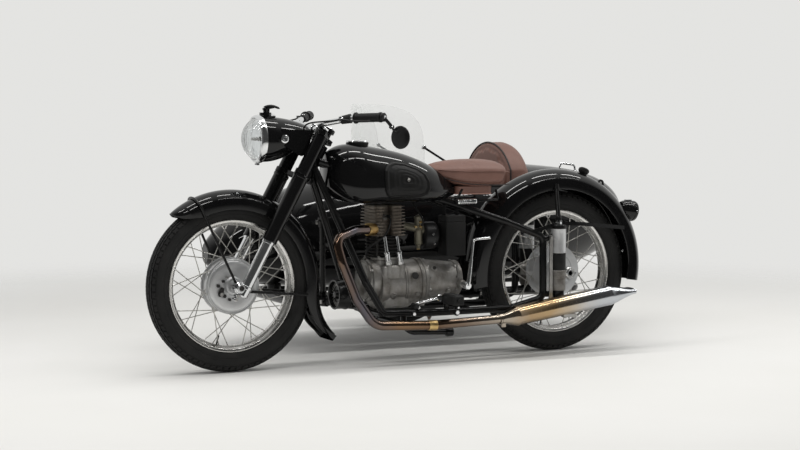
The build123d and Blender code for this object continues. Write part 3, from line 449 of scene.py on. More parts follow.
def makeWorld():  # what the camera sees, what polished parts mirror and what lights them
    world = bpy.data.worlds.new("studio")
    bpy.context.scene.world = world
    world.use_nodes = True
    tree = world.node_tree
    tree.nodes.clear()
    rays = addNode(tree, "ShaderNodeLightPath").outputs
    view = addNode(tree, "ShaderNodeTexCoord").outputs["Generated"]
    lightSide = unit(vec(camera["standsAt"][0] - stage["darkFrom"], camera["standsAt"][1], 0))
    toward = addNode(tree, "ShaderNodeVectorMath", {0: view, 1: lightSide}, operation="DOT_PRODUCT").outputs["Value"]
    shade = span(tree, toward, 1.0, stage["darkSide"], *stage["dark"], interpolation_type="SMOOTHSTEP")
    walls = addNode(tree, "ShaderNodeVectorMath", {0: stage["backColour"], "Scale": shade}, operation="SCALE")
    seen, reflected, diffuse = (addNode(tree, "ShaderNodeBackground", inputs)
        for inputs in ({"Color": (*stage["backColour"], 1)}, {"Color": walls.outputs["Vector"]},
        {"Color": stage["skyColour"], "Strength": stage["skyLight"]}))
    gloss = mixed(tree, rays["Is Glossy Ray"], diffuse, reflected)
    straight = maths(tree, "MAXIMUM", rays["Is Camera Ray"], rays["Is Transmission Ray"])
    sky = mixed(tree, straight, gloss, seen)
    addNode(tree, "ShaderNodeOutputWorld", {"Surface": sky.outputs[0]})


def makeLamps():
    for row in softbox["rows"]:
        for step in range(softbox["panels"]):
            lamp = bpy.data.lights.new("softboxPanel", "AREA")
            lamp.shape = "RECTANGLE"
            lamp.size, lamp.size_y = softbox["length"], softbox["width"]
            lamp.energy, lamp.color = softbox["power"], softbox["colour"]
            along = (step - (softbox["panels"] - 1) / 2) * softbox["gap"]
            placed("softboxPanel", lamp).location = (along, row, softbox["height"])


def makeCamera():
    lens = bpy.data.cameras.new("photoView")
    lens.sensor_width = camera["sensor"]
    lens.lens = camera["focal"] / camera["photoWidth"] * lens.sensor_width
    lens.clip_end = camera["farEnd"]
    thing = placed("photoView", lens)
    (yawCos, yawSin), (pitchCos, pitchSin) = polar(camera["yaw"]), polar(camera["pitch"])
    thing.location = Vector(camera["standsAt"]) + Vector(origin)
    looks = Vector((-yawSin * pitchCos, -yawCos * pitchCos, -pitchSin))
    thing.rotation_euler = looks.to_track_quat("-Z", "Y").to_euler()
    bpy.context.scene.camera = thing
    bpy.context.scene.view_settings.view_transform = "Standard"


makeFloor()
makeWorld()
makeLamps()
makeCamera()
print("stage set")


def smearGroup():  # cloudy marks and fine dust: one mask for colour, one for roughness
    group, given, result = newTree("smear", "ShaderNodeTree", [("Scale", "Float", 9.0), ("Contrast", "Float", 3.0)],
        [("Cloud", "Float"), ("Dust", "Float")])
    where = objectPlace(group)
    cloud = noise(group, where, given["Scale"], 6)
    sharp = maths(group, "MULTIPLY", maths(group, "SUBTRACT", cloud, 0.5), given["Contrast"])
    clamp = addNode(group, "ShaderNodeClamp", {"Value": maths(group, "ADD", sharp, 0.5)})
    feed(group, result, {"Cloud": clamp.outputs[0], "Dust": noise(group, where, 420.0, 2)})
    return group


def castingGroup():  # the skin of a sand casting
    group, given, result = newTree("castingSkin", "ShaderNodeTree", [("Grain", "Float", 700.0)],
        [("Height", "Float"), ("Stain", "Float")])
    where = objectPlace(group)
    fine, broad = noise(group, where, given["Grain"], 3, 0.7), noise(group, where, 60.0, 3)
    feed(group, result, {"Height": maths(group, "ADD", fine, maths(group, "MULTIPLY", broad, 0.8)),
        "Stain": noise(group, where, 16.0, 7, 0.65)})
    return group


def hideGroup():  # leather: pebbled grain and soft creases
    group, given, result = newTree("hideGrain", "ShaderNodeTree", [("Pebbles", "Float", 520.0)],
        [("Height", "Float"), ("Tone", "Float")])
    where = objectPlace(group)
    cells = addNode(group, "ShaderNodeTexVoronoi", {"Vector": where, "Scale": given["Pebbles"]}, feature="SMOOTH_F1")
    crease = maths(group, "MULTIPLY", noise(group, where, 45.0, 5, 0.6), 0.9)
    feed(group, result, {"Height": maths(group, "ADD", cells.outputs["Distance"], crease),
        "Tone": noise(group, where, 11.0, 5, 0.6)})
    return group


smear, castingSkin, hideGrain = smearGroup(), castingGroup(), hideGroup()


def useGroup(tree, group, **values):
    return addNode(tree, "ShaderNodeGroup", values, node_tree=group).outputs


def bumped(tree, height, strength, distance):
    return addNode(tree, "ShaderNodeBump",
        {"Strength": strength, "Distance": distance, "Height": height}).outputs["Normal"]


def plain(name, tones, roughness, metallic=0.0, scale=9.0, grain=0.0, specular=0.5):  # darker and lighter tone
    material, tree, shader = newFinish(name, roughness[0], metallic, Specular_IOR_Level=specular)
    marks = useGroup(tree, smear, Scale=scale, Contrast=2.5)
    feed(tree, shader, {"Base Color": ramp(tree, marks["Cloud"], (0.1, tones[0]), (0.9, tones[1])),
        "Roughness": span(tree, marks["Cloud"], *roughness)})
    if grain:
        feed(tree, shader, {"Normal": bumped(tree, marks["Dust"], 0.5, grain)})
    return material


def casting(name, tones, roughness, metallic, grain, depth):
    material, tree, shader = newFinish(name, roughness[0], metallic)
    skin = useGroup(tree, castingSkin, Grain=grain)
    feed(tree, shader, {"Base Color": ramp(tree, skin["Stain"], *zip((0.28, 0.5, 0.75), tones)),
        "Roughness": span(tree, skin["Stain"], *roughness), "Normal": bumped(tree, skin["Height"], 0.6, depth)})
    return material


def leather(name, tones, roughness):
    material, tree, shader = newFinish(name, roughness[0], Specular_IOR_Level=0.42)
    hide = useGroup(tree, hideGrain, Pebbles=560.0)
    feed(tree, shader, {"Base Color": ramp(tree, hide["Tone"], *zip((0.25, 0.75), tones)),
        "Roughness": span(tree, hide["Tone"], *roughness), "Normal": bumped(tree, hide["Height"], 0.35, 0.0008)})
    return material


heat = {"rearEnd": -0.8, "frontEnd": 0.5, "wander": 0.16,
    "tones": [(0.0, (0.52, 0.54, 0.57)), (0.14, (0.52, 0.54, 0.57)), (0.25, (0.5, 0.43, 0.34)),
    (0.31, (0.44, 0.31, 0.17)), (0.38, (0.4, 0.28, 0.16)), (0.46, (0.42, 0.37, 0.31)), (0.56, (0.26, 0.21, 0.17)),
    (0.68, (0.15, 0.095, 0.062)), (0.82, (0.22, 0.14, 0.085)), (0.92, (0.105, 0.1, 0.115)),
    (1.0, (0.15, 0.095, 0.062))]}


def heatedChrome():  # plating that has gone straw and blue where it gets hot
    material, tree, shader = newFinish("heatedChrome", 0.16, 1.0)
    where = objectPlace(tree)
    split = addNode(tree, "ShaderNodeSeparateXYZ", {0: where})
    blotch = noise(tree, where, 7.0, 5)
    wander = maths(tree, "MULTIPLY", maths(tree, "SUBTRACT", blotch, 0.5), heat["wander"])
    along = maths(tree, "ADD", split.outputs["X"], wander)
    place = span(tree, along, 0.0, 1.0, heat["rearEnd"], heat["frontEnd"])
    feed(tree, shader, {"Base Color": ramp(tree, place, *heat["tones"]), "Roughness": span(tree, blotch, 0.1, 0.24)})
    return material


def glass(name, tint, roughness, ior, haze):
    material, tree, shader = newFinish(name, roughness, Base_Color=(*tint, 1), Transmission_Weight=1.0, IOR=ior)
    marks = useGroup(tree, smear, Scale=6.0, Contrast=2.0)
    feed(tree, shader, {"Roughness": span(tree, marks["Cloud"], roughness, roughness + haze)})
    return material


def sheetScreen():  # thin clear acrylic: mostly see-through, with a painted reflection: its pale colour shows more at a slant
    material, tree, shader = newFinish("clearScreen", 0.04, Base_Color=(0.92, 0.94, 0.93, 1), IOR=1.45)
    paintedReflectionSlant = addNode(tree, "ShaderNodeLayerWeight", {"Blend": 0.28}).outputs["Facing"]
    haze = maths(tree, "MULTIPLY", useGroup(tree, smear, Scale=14.0, Contrast=1.5)["Cloud"], 0.05)
    # painted reflection: the pale base colour grows more opaque towards a slant; the haze added on top is a random
    # film
    feed(tree, shader, {"Alpha": maths(tree, "ADD", span(tree, paintedReflectionSlant, 0.1, 0.62), haze)})
    return material


finishes = {
    "enamel": plain("blackEnamel", ((0.003, 0.003, 0.0033), (0.0048, 0.0048, 0.005)), (0.035, 0.07), 0, 5, 0, 0.36),
    "frameEnamel": plain("frameEnamel", ((0.0035, 0.0035, 0.0038), 0.0065), (0.16, 0.28), 0, 9, 0, 0.26),
    "matteBlack": plain("mattePaint", (0.006, 0.01), (0.42, 0.55), 0, 12, 0.0002, 0.22),
    "chrome": plain("chromePlate", ((0.7, 0.71, 0.72), (0.8, 0.81, 0.82)), (0.06, 0.14), 1, 16),
    "heated": heatedChrome(),
    "polished": plain("polishedAlloy", ((0.66, 0.66, 0.65), (0.76, 0.76, 0.75)), (0.2, 0.3), 1, 20),
    "satin": plain("satinAlloy", ((0.52, 0.525, 0.53), (0.66, 0.665, 0.67)), (0.38, 0.5), 0.85, 14, 0.00008),
    "rimAlloy": plain("rimAlloy", ((0.58, 0.57, 0.55), (0.74, 0.73, 0.71)), (0.2, 0.32), 1, 18),
    "cast": casting("castAlloy", ((0.085, 0.072, 0.06), (0.235, 0.225, 0.21), (0.34, 0.335, 0.325)), (0.52, 0.36),
        0.75, 800, 0.0005),
    "headCast": casting("headAlloy", ((0.08, 0.065, 0.05), (0.22, 0.19, 0.16), (0.34, 0.3, 0.25)), (0.6, 0.42),
        0.75, 900, 0.0004),
    "carb": casting("zincAlloy", ((0.06, 0.055, 0.04), (0.15, 0.14, 0.105), (0.24, 0.225, 0.18)), (0.55, 0.4),
        0.7, 900, 0.0003),
    "iron": casting("blackIron", (0.008, (0.014, 0.013, 0.012), (0.024, 0.022, 0.02)), (0.6, 0.42), 0.2, 900,
        0.0004),
    "steel": plain("bareSteel", ((0.36, 0.35, 0.34), (0.52, 0.51, 0.49)), (0.28, 0.42), 1, 30),
    "spokeSteel": plain("spokeSteel", ((0.4, 0.39, 0.37), (0.56, 0.55, 0.52)), (0.3, 0.42), 1, 40),
    "brass": plain("brassFitting", ((0.5, 0.34, 0.14), (0.66, 0.48, 0.22)), (0.24, 0.4), 1, 30),
    "rubber": plain("tyreRubber", (0.009, (0.016, 0.0155, 0.015)), (0.58, 0.74), 0, 14, 0.0003, 0.22),
    "moulded": plain("mouldedRubber", (0.006, 0.011), (0.45, 0.6), 0, 20, 0.0002, 0.24),
    "leather": leather("tanLeather", ((0.135, 0.066, 0.05), (0.19, 0.096, 0.074)), (0.42, 0.56)),
    "piping": leather("darkPiping", ((0.018, 0.012, 0.011), (0.03, 0.02, 0.018)), (0.45, 0.6)),
    "palePiping": leather("palePiping", ((0.3, 0.15, 0.12), (0.38, 0.21, 0.17)), (0.45, 0.6)),
    "glass": glass("lampGlass", (0.96, 0.97, 0.97), 0.01, 1.47, 0.03),
    "screen": sheetScreen(),
    "red": glass("redLens", (0.52, 0.012, 0.01), 0.08, 1.45, 0.1),
    "plastic": plain("blackPlastic", ((0.006, 0.006, 0.0065), (0.011, 0.011, 0.0115)), (0.3, 0.44), 0, 20, 0.0001,
        0.28)}
nodeFinish = {"main_frame": "frameEnamel", "sidecar_chassis": "frameEnamel", "sidecar_body": "enamel",
    "screen_stays": "frameEnamel", "fork_yokes": "frameEnamel", "headlamp_shell": "enamel",
    "control_cables": "moulded"}
for node, finish in nodeFinish.items():  # the nodes that show as they are
    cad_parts[node].data.materials.clear()
    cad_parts[node].data.materials.append(finishes[finish])
print("finishes made")


tyre = {"tread": 0.003, "pitches": 76, "gap": 0.0022, "zigzag": 0.0022,
    "ribs": ((-0.0235, 0.0088), (-0.0118, 0.0088), (0.0, 0.0088), (0.0118, 0.0088), (0.0235, 0.0088)),
    "shoulder": (0.0355, 0.0135), "shoulderTilt": 52}
# across, radius
carcass = [(-0.027, 0.2335), (-0.0275, 0.243), (-0.03, 0.2455), (-0.0335, 0.2465), (-0.0385, 0.256), (-0.0412, 0.264),
    (-0.0404, 0.2648), (-0.0404, 0.2662), (-0.042, 0.268), (-0.0428, 0.275), (-0.0424, 0.283), (-0.0412, 0.29),
    (-0.0385, 0.297), (-0.0345, 0.3025), (-0.029, 0.3068), (-0.021, 0.311), (-0.011, 0.314), (0.0, 0.315)]
laced = {"spokes": 9, "lean": 38, "hubRadius": 0.099, "hubSide": 0.028, "wellRadius": 0.2235, "wellSide": 0.004,
    "diameter": 0.0036, "nipple": 0.0068, "nippleLength": 0.017}
# across, radius: one half of the bed, the lip and the outside that shows
rimHalf = [(0.009, 0.2262), (0.013, 0.233), (0.027, 0.2336), (0.027, 0.242), (0.0285, 0.2434), (0.0304, 0.243),
    (0.0312, 0.2414), (0.0306, 0.2392), (0.0296, 0.2335), (0.0275, 0.2308), (0.021, 0.229), (0.015, 0.2275),
    (0.0115, 0.223), (0.0085, 0.2212)]
# across, radius: from the left face over the barrel to the right face
hubFace = [(-0.033, 0.09), (-0.0348, 0.074), (-0.035, 0.07), (-0.0336, 0.069), (-0.0336, 0.056), (-0.0356, 0.054),
    (-0.0362, 0.03)]
hubBarrel = [(0.031, 0.103), (0.0278, 0.1038), (0.0252, 0.103), (0.025, 0.0962), (0.019, 0.0958)]
hubProfile = [*hubBarrel, (0.0, 0.0954), *mirrored(hubBarrel), *hubFace, (-0.0375, 0.025), (-0.05, 0.02),
    (-0.051, 0.0104)]
hubLeft = {"front": [(0.0006, 0.0104), (0.001, 0.088), (0.03, 0.0905)],
    "rear": [(0.06, 0.0104), (0.06, 0.019), (0.0385, 0.025), *mirrored(hubFace)]}


def wheelSpot(middle, angle, radius, side):  # a point in a wheel: angle from ahead, up over the top
    c, s = polar(angle, radius)
    return middle + vec(c, side, s)


def treadWays(angle):  # outward and along the tread
    out = wheelSpot(vec(0, 0, 0), angle, 1, 0)
    return out, np.cross(sideways, out)


def makeTyre(name, middle, body):
    ring = revolved(carcass + mirrored(carcass[:-1]) + [(0.0, 0.2335)], middle, sideways, 192)
    piece(f"{name}Tyre", [ring], "rubber", 50, f"{name}_tyre", body)
    pitch = 2 * math.pi * 0.316 / tyre["pitches"]
    marks = []
    for across, width in tyre["ribs"]:
        radius = np.interp(-abs(across), [c[0] for c in carcass], [c[1] for c in carcass])
        tilt = math.degrees(math.atan2(abs(across), 0.075)) * (1 if across > 0 else -1)
        for step in range(tyre["pitches"]):
            angle = 360 * (step + (0.5 if abs(across) > 0.015 else 0)) / tyre["pitches"]
            out, along = treadWays(angle)
            marks.append((wheelSpot(middle, angle, radius - 0.0012, across), turn(out, along, -tilt), along))
    length, width, z = pitch - tyre["gap"], 0.0088, tyre["zigzag"]
    outline = [(-length / 2, -width / 2), (0, -width / 2 + z), (length / 2, -width / 2), (length / 2, width / 2),
        (0, width / 2 + z), (-length / 2, width / 2)]
    rib = slab(outline, tyre["tread"] + 0.0012, vec(0, 0, 0), ahead, sideways, 0.0005)
    repeat(f"{name}TyreRibs", rib, marks, "rubber", body=body)
    marks = []
    across, width = tyre["shoulder"]
    for side in both:
        for step in range(tyre["pitches"]):
            angle = 360 * (step + 0.25 * side) / tyre["pitches"]
            out, along = treadWays(angle)
            facing = turn(out, along, -tyre["shoulderTilt"] * side)
            marks.append((wheelSpot(middle, angle, 0.301, across * side), facing, along * side))
    length = pitch * 0.96 - tyre["gap"]
    block = slab([(-length / 2, -width / 2), (length / 2, -width / 2), (length * 0.34, width / 2), (0, width * 0.34),
        (-length * 0.34, width / 2)], 0.0042, vec(0, 0, 0), ahead, sideways, 0.0006)
    repeat(f"{name}TyreShoulders", block, marks, "rubber", body=body)


def makeWheel(name, body):
    low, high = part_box(f"{name}_tyre")
    middle = np.array((low + high) / 2) - origin
    makeTyre(name, middle, body)
    piece(f"{name}Rim", [revolved(rimHalf + mirrored(rimHalf), middle, sideways, 192)], "rimAlloy", 42, f"{name}_rim",
        body)
    spokes, nipples = [], []
    for side, start, lean in ((1, 0, 1), (1, 20, -1), (-1, 10, 1), (-1, 30, -1)):
        for step in range(laced["spokes"]):
            angle = -(start + step * 360 / laced["spokes"])
            root = wheelSpot(middle, angle, laced["hubRadius"], side * laced["hubSide"])
            tip = wheelSpot(middle, angle - lean * laced["lean"], laced["wellRadius"], side * laced["wellSide"])
            along, length = unit(tip - root), np.linalg.norm(tip - root)
            spokes.append((root, along, sideways, (1, 1, length)))
            nipples.append((tip - along * laced["nippleLength"] * 0.92, along, sideways))
    wire = rod((0, 0, 0), (0, 0, 1), laced["diameter"], sides=10, edge=0.0)
    repeat(f"{name}Spokes", wire, spokes, "spokeSteel", body=body)
    cap = revolved([(0, 0), (0, 0.0019), (0.0015, 0.0022), (0.01, 0.0022), (0.0115, 0.0034), (0.017, 0.0034),
        (0.017, 0)], vec(0, 0, 0), up, 10)
    repeat(f"{name}Nipples", cap, nipples, "rimAlloy", body=body)
    profile = hubLeft.get(name, hubLeft["rear"]) + hubProfile
    piece(f"{name}Hub", [revolved(profile, middle, sideways, 128)], "satin", 30, f"{name}_hub", body)
    inner = wheelSpot(middle, -76, 0.2215, 0)
    valve = unit(inner - middle)
    piece(f"{name}Valve", [rod(inner + valve * 0.001, inner - valve * 0.03, 0.0062, 0.0052, 14),
        rod(inner - valve * 0.018, inner - valve * 0.034, 0.0078, 0.0072, 14)], "moulded", body=body)
    return middle


wheelMiddle = {name: makeWheel(name, f"{name}_wheel") for name in ("front", "rear", "sidecar")}
print("wheels made")


guards = {"front": {"radius": 0.352, "half": 0.06, "skirt": 0.072, "from": 50, "to": 185, "flareRadius": 0.206,
    "flareTurn": 50, "tailCut": 0.026},
    "rear": {"radius": 0.405, "half": 0.072, "skirt": 0.08, "from": -8, "to": 188},
    "sidecar": {"radius": 0.362, "half": 0.066, "skirt": 0.084, "from": 5, "to": 187}}
sheet = {"wall": 0.0026, "bead": 0.0042, "crownSteps": 22}


def guardSection(radius, half, skirt):  # closed outline, across and outward: crown, skirts and rolled edges
    crown = radius - half * 0.55
    rise = radius - crown
    curve = (half * half + rise * rise) / (2 * rise)
    sweep = math.asin(min(1, half / curve)) if rise < half else math.pi / 2
    angles = np.linspace(-sweep, sweep, sheet["crownSteps"])
    outer = [(curve * math.sin(a), radius - curve + curve * math.cos(a)) for a in angles]
    inner = [((curve - sheet["wall"]) * math.sin(a), radius - curve + (curve - sheet["wall"]) * math.cos(a))
        for a in angles[::-1]]
    foot = radius - skirt
    bead = [(sheet["bead"] * math.cos(a), sheet["bead"] * math.sin(a)) for a in np.linspace(0, -math.pi, 8)]
    right = [(half - sheet["bead"] + x, foot + sheet["bead"] + y) for x, y in bead]
    left = [(-x, y) for x, y in reversed(right)]
    return np.array(outer + [(half, crown - 0.004)] + right
        + [(half - 2 * sheet["bead"] + 0.002, foot + 0.012), (half - sheet["wall"], foot + 0.016),
        (half - sheet["wall"], crown - 0.004)] + inner
        + [(sheet["wall"] - half, crown - 0.004), (sheet["wall"] - half, foot + 0.016),
        (2 * sheet["bead"] - half - 0.002, foot + 0.012)] + left + [(-half, crown - 0.004)])


def guardRow(middle, angle, section):
    return middle + section[:, :1] * sideways + section[:, 1:] * wheelSpot(0, angle, 1, 0)


def guardRows(name, middle):
    values = guards[name]
    steps = int((values["to"] - values["from"]) / 2.2)
    rows = []
    for angle in np.linspace(values["from"], values["to"], steps):
        ends = min(abs(angle - values["from"]), 40) / 40
        half = values["half"] - (0.01 * (1 - ends) ** 2 if name != "sidecar" else 0)
        radius, skirt = values["radius"], values["skirt"]
        if name == "front":  # the lip at the front runs out to a point
            skirt *= 0.26 + 0.74 * min(1, (angle - values["from"]) / 15) ** 0.6
            half -= 0.03 * max(0, 1 - (angle - values["from"]) / 7) ** 2
        if name == "rear":
            radius -= 0.014 * max(0, (angle - 118) / 70) ** 1.5
        rows.append(guardRow(middle, angle, guardSection(radius, half, skirt)))
    if name == "front":
        reach = values["radius"] + values["flareRadius"]
        hinge = wheelSpot(middle, values["to"], reach, 0)
        for step in np.linspace(0, 1, 26)[1:]:
            skirt = values["skirt"] * (1 - 0.62 * step**1.4)
            section = guardSection(values["radius"], values["half"], skirt)
            section[:, 1] -= reach
            rows.append(guardRow(hinge, values["to"] - values["flareTurn"] * step, section))
    return rows


def makeGuards():
    front, side = wheelMiddle["front"], wheelMiddle["sidecar"]
    for name, body in (("front", "fork"), ("rear", "frame"), ("sidecar", "frame")):
        rows = guardRows(name, wheelMiddle[name])
        piece(f"{name}Guard", [grid(rows)], "enamel", 50, f"{name}_mudguard", body)
    # stays of the front guard: one up each side and over the crown, one back to the tail
    edge = guards["front"]["half"] + 0.0045
    over = []
    for a in np.linspace(-1, 1, 13):
        crown = guards["front"]["radius"] + 0.0035 - 0.03 * abs(a) ** 2.6
        out = unit((0.133, 0, 0.298))
        over.append(front + out * crown + sideways * edge * a)
    up1 = [vec(1.372, 0.078, 0.336), vec(1.484, edge, 0.585)]
    hoop = [*up1, *reversed(over), *[p * vec(1, -1, 1) for p in reversed(up1)]]
    shapes = [swept(smoothPath(hoop, 90), 0.0048, 12)]
    for s in both:
        shapes += [rod((1.346, s * 0.0685, 0.302), (1.082, s * edge, 0.276), 0.012, 0.01),
            rod((1.352, s * 0.062, 0.304), (1.352, s * 0.08, 0.304), 0.022)]
    piece("frontGuardStays", shapes, "frameEnamel", body="fork")
    # stays of the rear guard
    edge = guards["rear"]["half"] + 0.003
    shapes = []
    for s in both:
        shapes += [rod((0.045, s * 0.125, 0.53), (0.026, s * edge, 0.65), 0.0185, 0.0165),
            rod(vec(0.026, s * (edge + 0.004), 0.64), vec(0.0235, s * (edge - 0.003), 0.664), 0.022, 0.018),
            rod((0.045, s * 0.125, 0.5195), (0.045, s * 0.125, 0.54), 0.024)]
        for way in (((0.045, 0.51), (0.0, 0.512), (-0.06, 0.5085), (-0.29, 0.484)),
                ((0.045, 0.51), (0.082, 0.506), (0.118, 0.496), (0.165, 0.483))):
            across = [0.127, 0.127, 0.1225, edge] if way[1][0] == 0 else [0.127, 0.1265, 0.125, 0.116]
            line = smoothPath([vec(x, s * y, z) for (x, z), y in zip(way, across)], 30)
            rows = [[p + up * 0.0075 + sideways * 0.002, p + up * 0.0075 - sideways * 0.002,
                p - up * 0.0075 - sideways * 0.002, p - up * 0.0075 + sideways * 0.002] for p in line]
            shapes.append(grid(rows))
    piece("rearGuardStays", shapes, "frameEnamel")
    rest = revolved([(0, 0), (0, 0.012), (0.006, 0.019), (0.013, 0.0225), (0.021, 0.0215), (0.026, 0.014),
        (0.0275, 0)], vec(-0.139, 0, 0.6985), vec(-0.42, 0, 1), 40)
    piece("guardRubberRest", [rest, rod((-0.141, 0, 0.69), (-0.141, 0, 0.7), 0.03)], "moulded")
    lug = [vec(-0.236, 0, 0.652), vec(-0.234, 0, 0.668), vec(-0.22, 0, 0.674), vec(-0.214, 0, 0.662)]
    piece("guardLug", [swept(bent(lug, 0.006, 6), 0.0042, 14)], "frameEnamel")
    spot = vec(-0.283, edge - 0.0015, 0.391)
    piece("guardBolt", [rod(spot, spot + sideways * 0.0045, 0.01, 0.008, 20, 0.001)], "chrome")
    # stays of the sidecar's guard
    shapes = []
    for angle in (40, 140):
        a = math.radians(angle)
        shapes.append(rod(side + vec(0.012 * math.cos(a), 0.09, 0.02),
            side + vec(0.302 * math.cos(a), guards["sidecar"]["half"] + 0.003, 0.302 * math.sin(a)), 0.014))
    piece("sidecarGuardStays", shapes, "frameEnamel")


makeGuards()
print("mudguards made")


tank = {"sections": ((0.47, 0.63, 0.69, 0.06), (0.54, 0.612, 0.732, 0.104), (0.66, 0.61, 0.786, 0.132),
    (0.82, 0.612, 0.822, 0.14), (0.94, 0.632, 0.822, 0.104), (0.984, 0.672, 0.8, 0.052)), "rows": 90}
pad = {"outline": ((0.608, 0.688), (0.608, 0.66), (0.62, 0.64), (0.645, 0.6315), (0.765, 0.6315), (0.79, 0.638),
    (0.801, 0.658), (0.8025, 0.7), (0.8, 0.735), (0.787, 0.757), (0.763, 0.7655), (0.714, 0.76), (0.655, 0.74),
    (0.622, 0.718)), "middle": (0.706, 0.698), "thick": 0.0115, "ridges": 3, "ridgeHeight": 0.0004, "round": 0.012,
    "swell": ((0, 0.3), (0.02, 0.72), (0.05, 0.98), (0.085, 1.0), (0.12, 0.86), (0.15, 0.7), (0.19, 0.72),
    (0.26, 0.86), (0.4, 0.93), (1.0, 0.96))}


def arcPoints(a, b, c, count):  # an arc through three flat points
    a, b, c = (np.asarray(p, float) for p in (a, b, c))
    d = 2 * (a[0] * (b[1] - c[1]) + b[0] * (c[1] - a[1]) + c[0] * (a[1] - b[1]))
    sa, sb, sc = a @ a, b @ b, c @ c
    middle = vec(sa * (b[1] - c[1]) + sb * (c[1] - a[1]) + sc * (a[1] - b[1]),
        sa * (c[0] - b[0]) + sb * (a[0] - c[0]) + sc * (b[0] - a[0])) / d
    radius = np.linalg.norm(a - middle)
    t0, t1, t2 = (math.atan2(*(p - middle)[::-1]) for p in (a, b, c))
    t1 = t0 + (t1 - t0 + math.pi) % (2 * math.pi) - math.pi
    t2 = t1 + (t2 - t1 + math.pi) % (2 * math.pi) - math.pi
    t = np.linspace(t0, t2, count)
    return middle + radius * np.stack([np.cos(t), np.sin(t)], axis=1)


def tankSection(low, high, wide):  # left half from the bottom to the top, then the right half back down
    tall = high - low
    a, b, c = (0.7 * wide, low), (0.94 * wide, low + 0.12 * tall), (wide, low + 0.42 * tall)
    lower = arcPoints(a, b, c, 14)
    upper = arcPoints(c, (0.72 * wide, low + 0.84 * tall), (0, high), 26)
    half = np.concatenate([lower, upper[1:]])
    return np.concatenate([half, half[-2::-1] * vec(-1, 1)])


def tankWidth(x, z):  # how far out the tank's left side is
    low, high, wide = tankAt(x)
    half = tankSection(low, high, wide)[:39]
    return float(np.interp(z, half[:, 1], half[:, 0]))


def tankAt(x):
    table = np.array(tank["sections"])
    return [float(spline(table[:, 0], table[:, i], [x])[0]) for i in (1, 2, 3)]


def makeTank():
    t = np.linspace(0, 1, tank["rows"])
    rear, front = tank["sections"][0][0], tank["sections"][-1][0]
    places = rear + (front - rear) * (0.35 * (0.5 - 0.5 * np.cos(math.pi * t)) + 0.65 * t)  # closer at the ends
    rows = []
    for x in places:
        section = tankSection(*tankAt(x))
        rows.append(np.stack([np.full(len(section), x), section[:, 0], section[:, 1]], axis=1))
    piece("fuelTank", [grid(rows)], "enamel", 60, "fuel_tank")


def makePad(name, side, body, node):
    outline = rounded(pad["outline"], pad["round"], 8)
    middle = np.array(pad["middle"])
    count, rings = len(outline), 44
    rows = []
    for k in range(rings + 1):
        share = k / rings
        ring = middle + (outline - middle) * (1 - share) if k < rings else np.repeat([middle], count, axis=0)
        swell = float(np.interp(share, *zip(*pad["swell"])))
        turns = pad["ridges"] * (min(max(share, 0.3), 0.9) - 0.3) / 0.6
        depth = pad["thick"] * swell + pad["ridgeHeight"] * math.sin(turns * 2 * math.pi)
        if k == 0:
            rows.append([(p[0], side * (tankWidth(*p) + 0.0006), p[1]) for p in ring])
        rows.append([(p[0], side * (tankWidth(*p) + depth), p[1]) for p in ring])
    piece(name, [grid(rows, caps=False)], "matteBlack", 55, node, body=body)


makeTank()
makePad("toolLid", 1, "tool_lid", "tool_lid")
makePad("kneePad", -1, "frame", "knee_pad")
lockFace = tankWidth(0.706, 0.698) + pad["thick"]
lockBack = vec(0.706, lockFace - 0.002, 0.698)
piece("lidLock", [rod(lockBack, lockBack + sideways * long, wide) for long,
    wide in ((0.0042, 0.013), (0.0055, 0.006))], "steel", body="tool_lid")
capBase = [(0, 0), (0, 0.034), (0.005, 0.036), (0.008, 0.04), (0.016, 0.0425), (0.0215, 0.0428), (0.0225, 0.04),
    (0.0225, 0)]
capTop = [(0.0222, 0), (0.0222, 0.0405), (0.024, 0.0422), (0.0275, 0.0424), (0.03, 0.0405), (0.0312, 0.037),
    (0.0314, 0.015), (0.032, 0)]
piece("tankCap", [revolved(capBase, (0.852, 0, 0.8135), up, 80)], "moulded", 30, "tank_cap")
piece("tankCapTop", [revolved(capTop, (0.852, 0, 0.8135), up, 80)], "chrome", 30)
print("tank made")


fork = {"rake": 28.6, "lead": 0.079, "offset": 0.055, "legs": 0.095}
slider = [(-0.026, 0), (-0.026, 0.0165), (-0.021, 0.021), (0.004, 0.0215), (0.006, 0.0232), (0.016, 0.0232),
    (0.018, 0.0215), (0.19, 0.0213), (0.191, 0.0234), (0.1995, 0.0234), (0.1995, 0)]
forkCover = [(0.2, 0.024), (0.2, 0.0286), (0.203, 0.0293), (0.207, 0.0286), (0.458, 0.0285), (0.46, 0.03),
    (0.468, 0.03), (0.4695, 0.0285), (0.472, 0.0254), (0.634, 0.025), (0.634, 0.022)]
# across, radius
brakePlate = [(0.0146, 0.0102), (0.0146, 0.088), (0.0316, 0.0884), (0.0316, 0.099), (0.033, 0.1), (0.0352, 0.0998),
    (0.0362, 0.0985), (0.0358, 0.0962), (0.0346, 0.0952), (0.0346, 0.0938), (0.0362, 0.0925), (0.0388, 0.0885),
    (0.0398, 0.082), (0.0396, 0.062), (0.0382, 0.045), (0.038, 0.036), (0.0402, 0.033), (0.044, 0.03), (0.045, 0.024),
    (0.067, 0.0205), (0.068, 0.0195), (0.068, 0.0102)]
lamp = {"front": 1.262, "height": 0.853, "radius": 0.0766, "sphere": 0.0874, "sphereMiddle": -0.0374, "wall": 0.0032,
    "flute": 0.0005, "pitch": 0.0105, "bowl": 0.016}
lampRim = [(-0.0176, 0.077), (-0.0176, 0.0868), (-0.0165, 0.0884), (-0.011, 0.0892), (-0.004, 0.0884),
    (0.001, 0.0866), (0.0024, 0.0856), (0.003, 0.0842), (0.0048, 0.0832), (0.0062, 0.0805), (0.006, 0.0782),
    (0.0048, 0.077)]
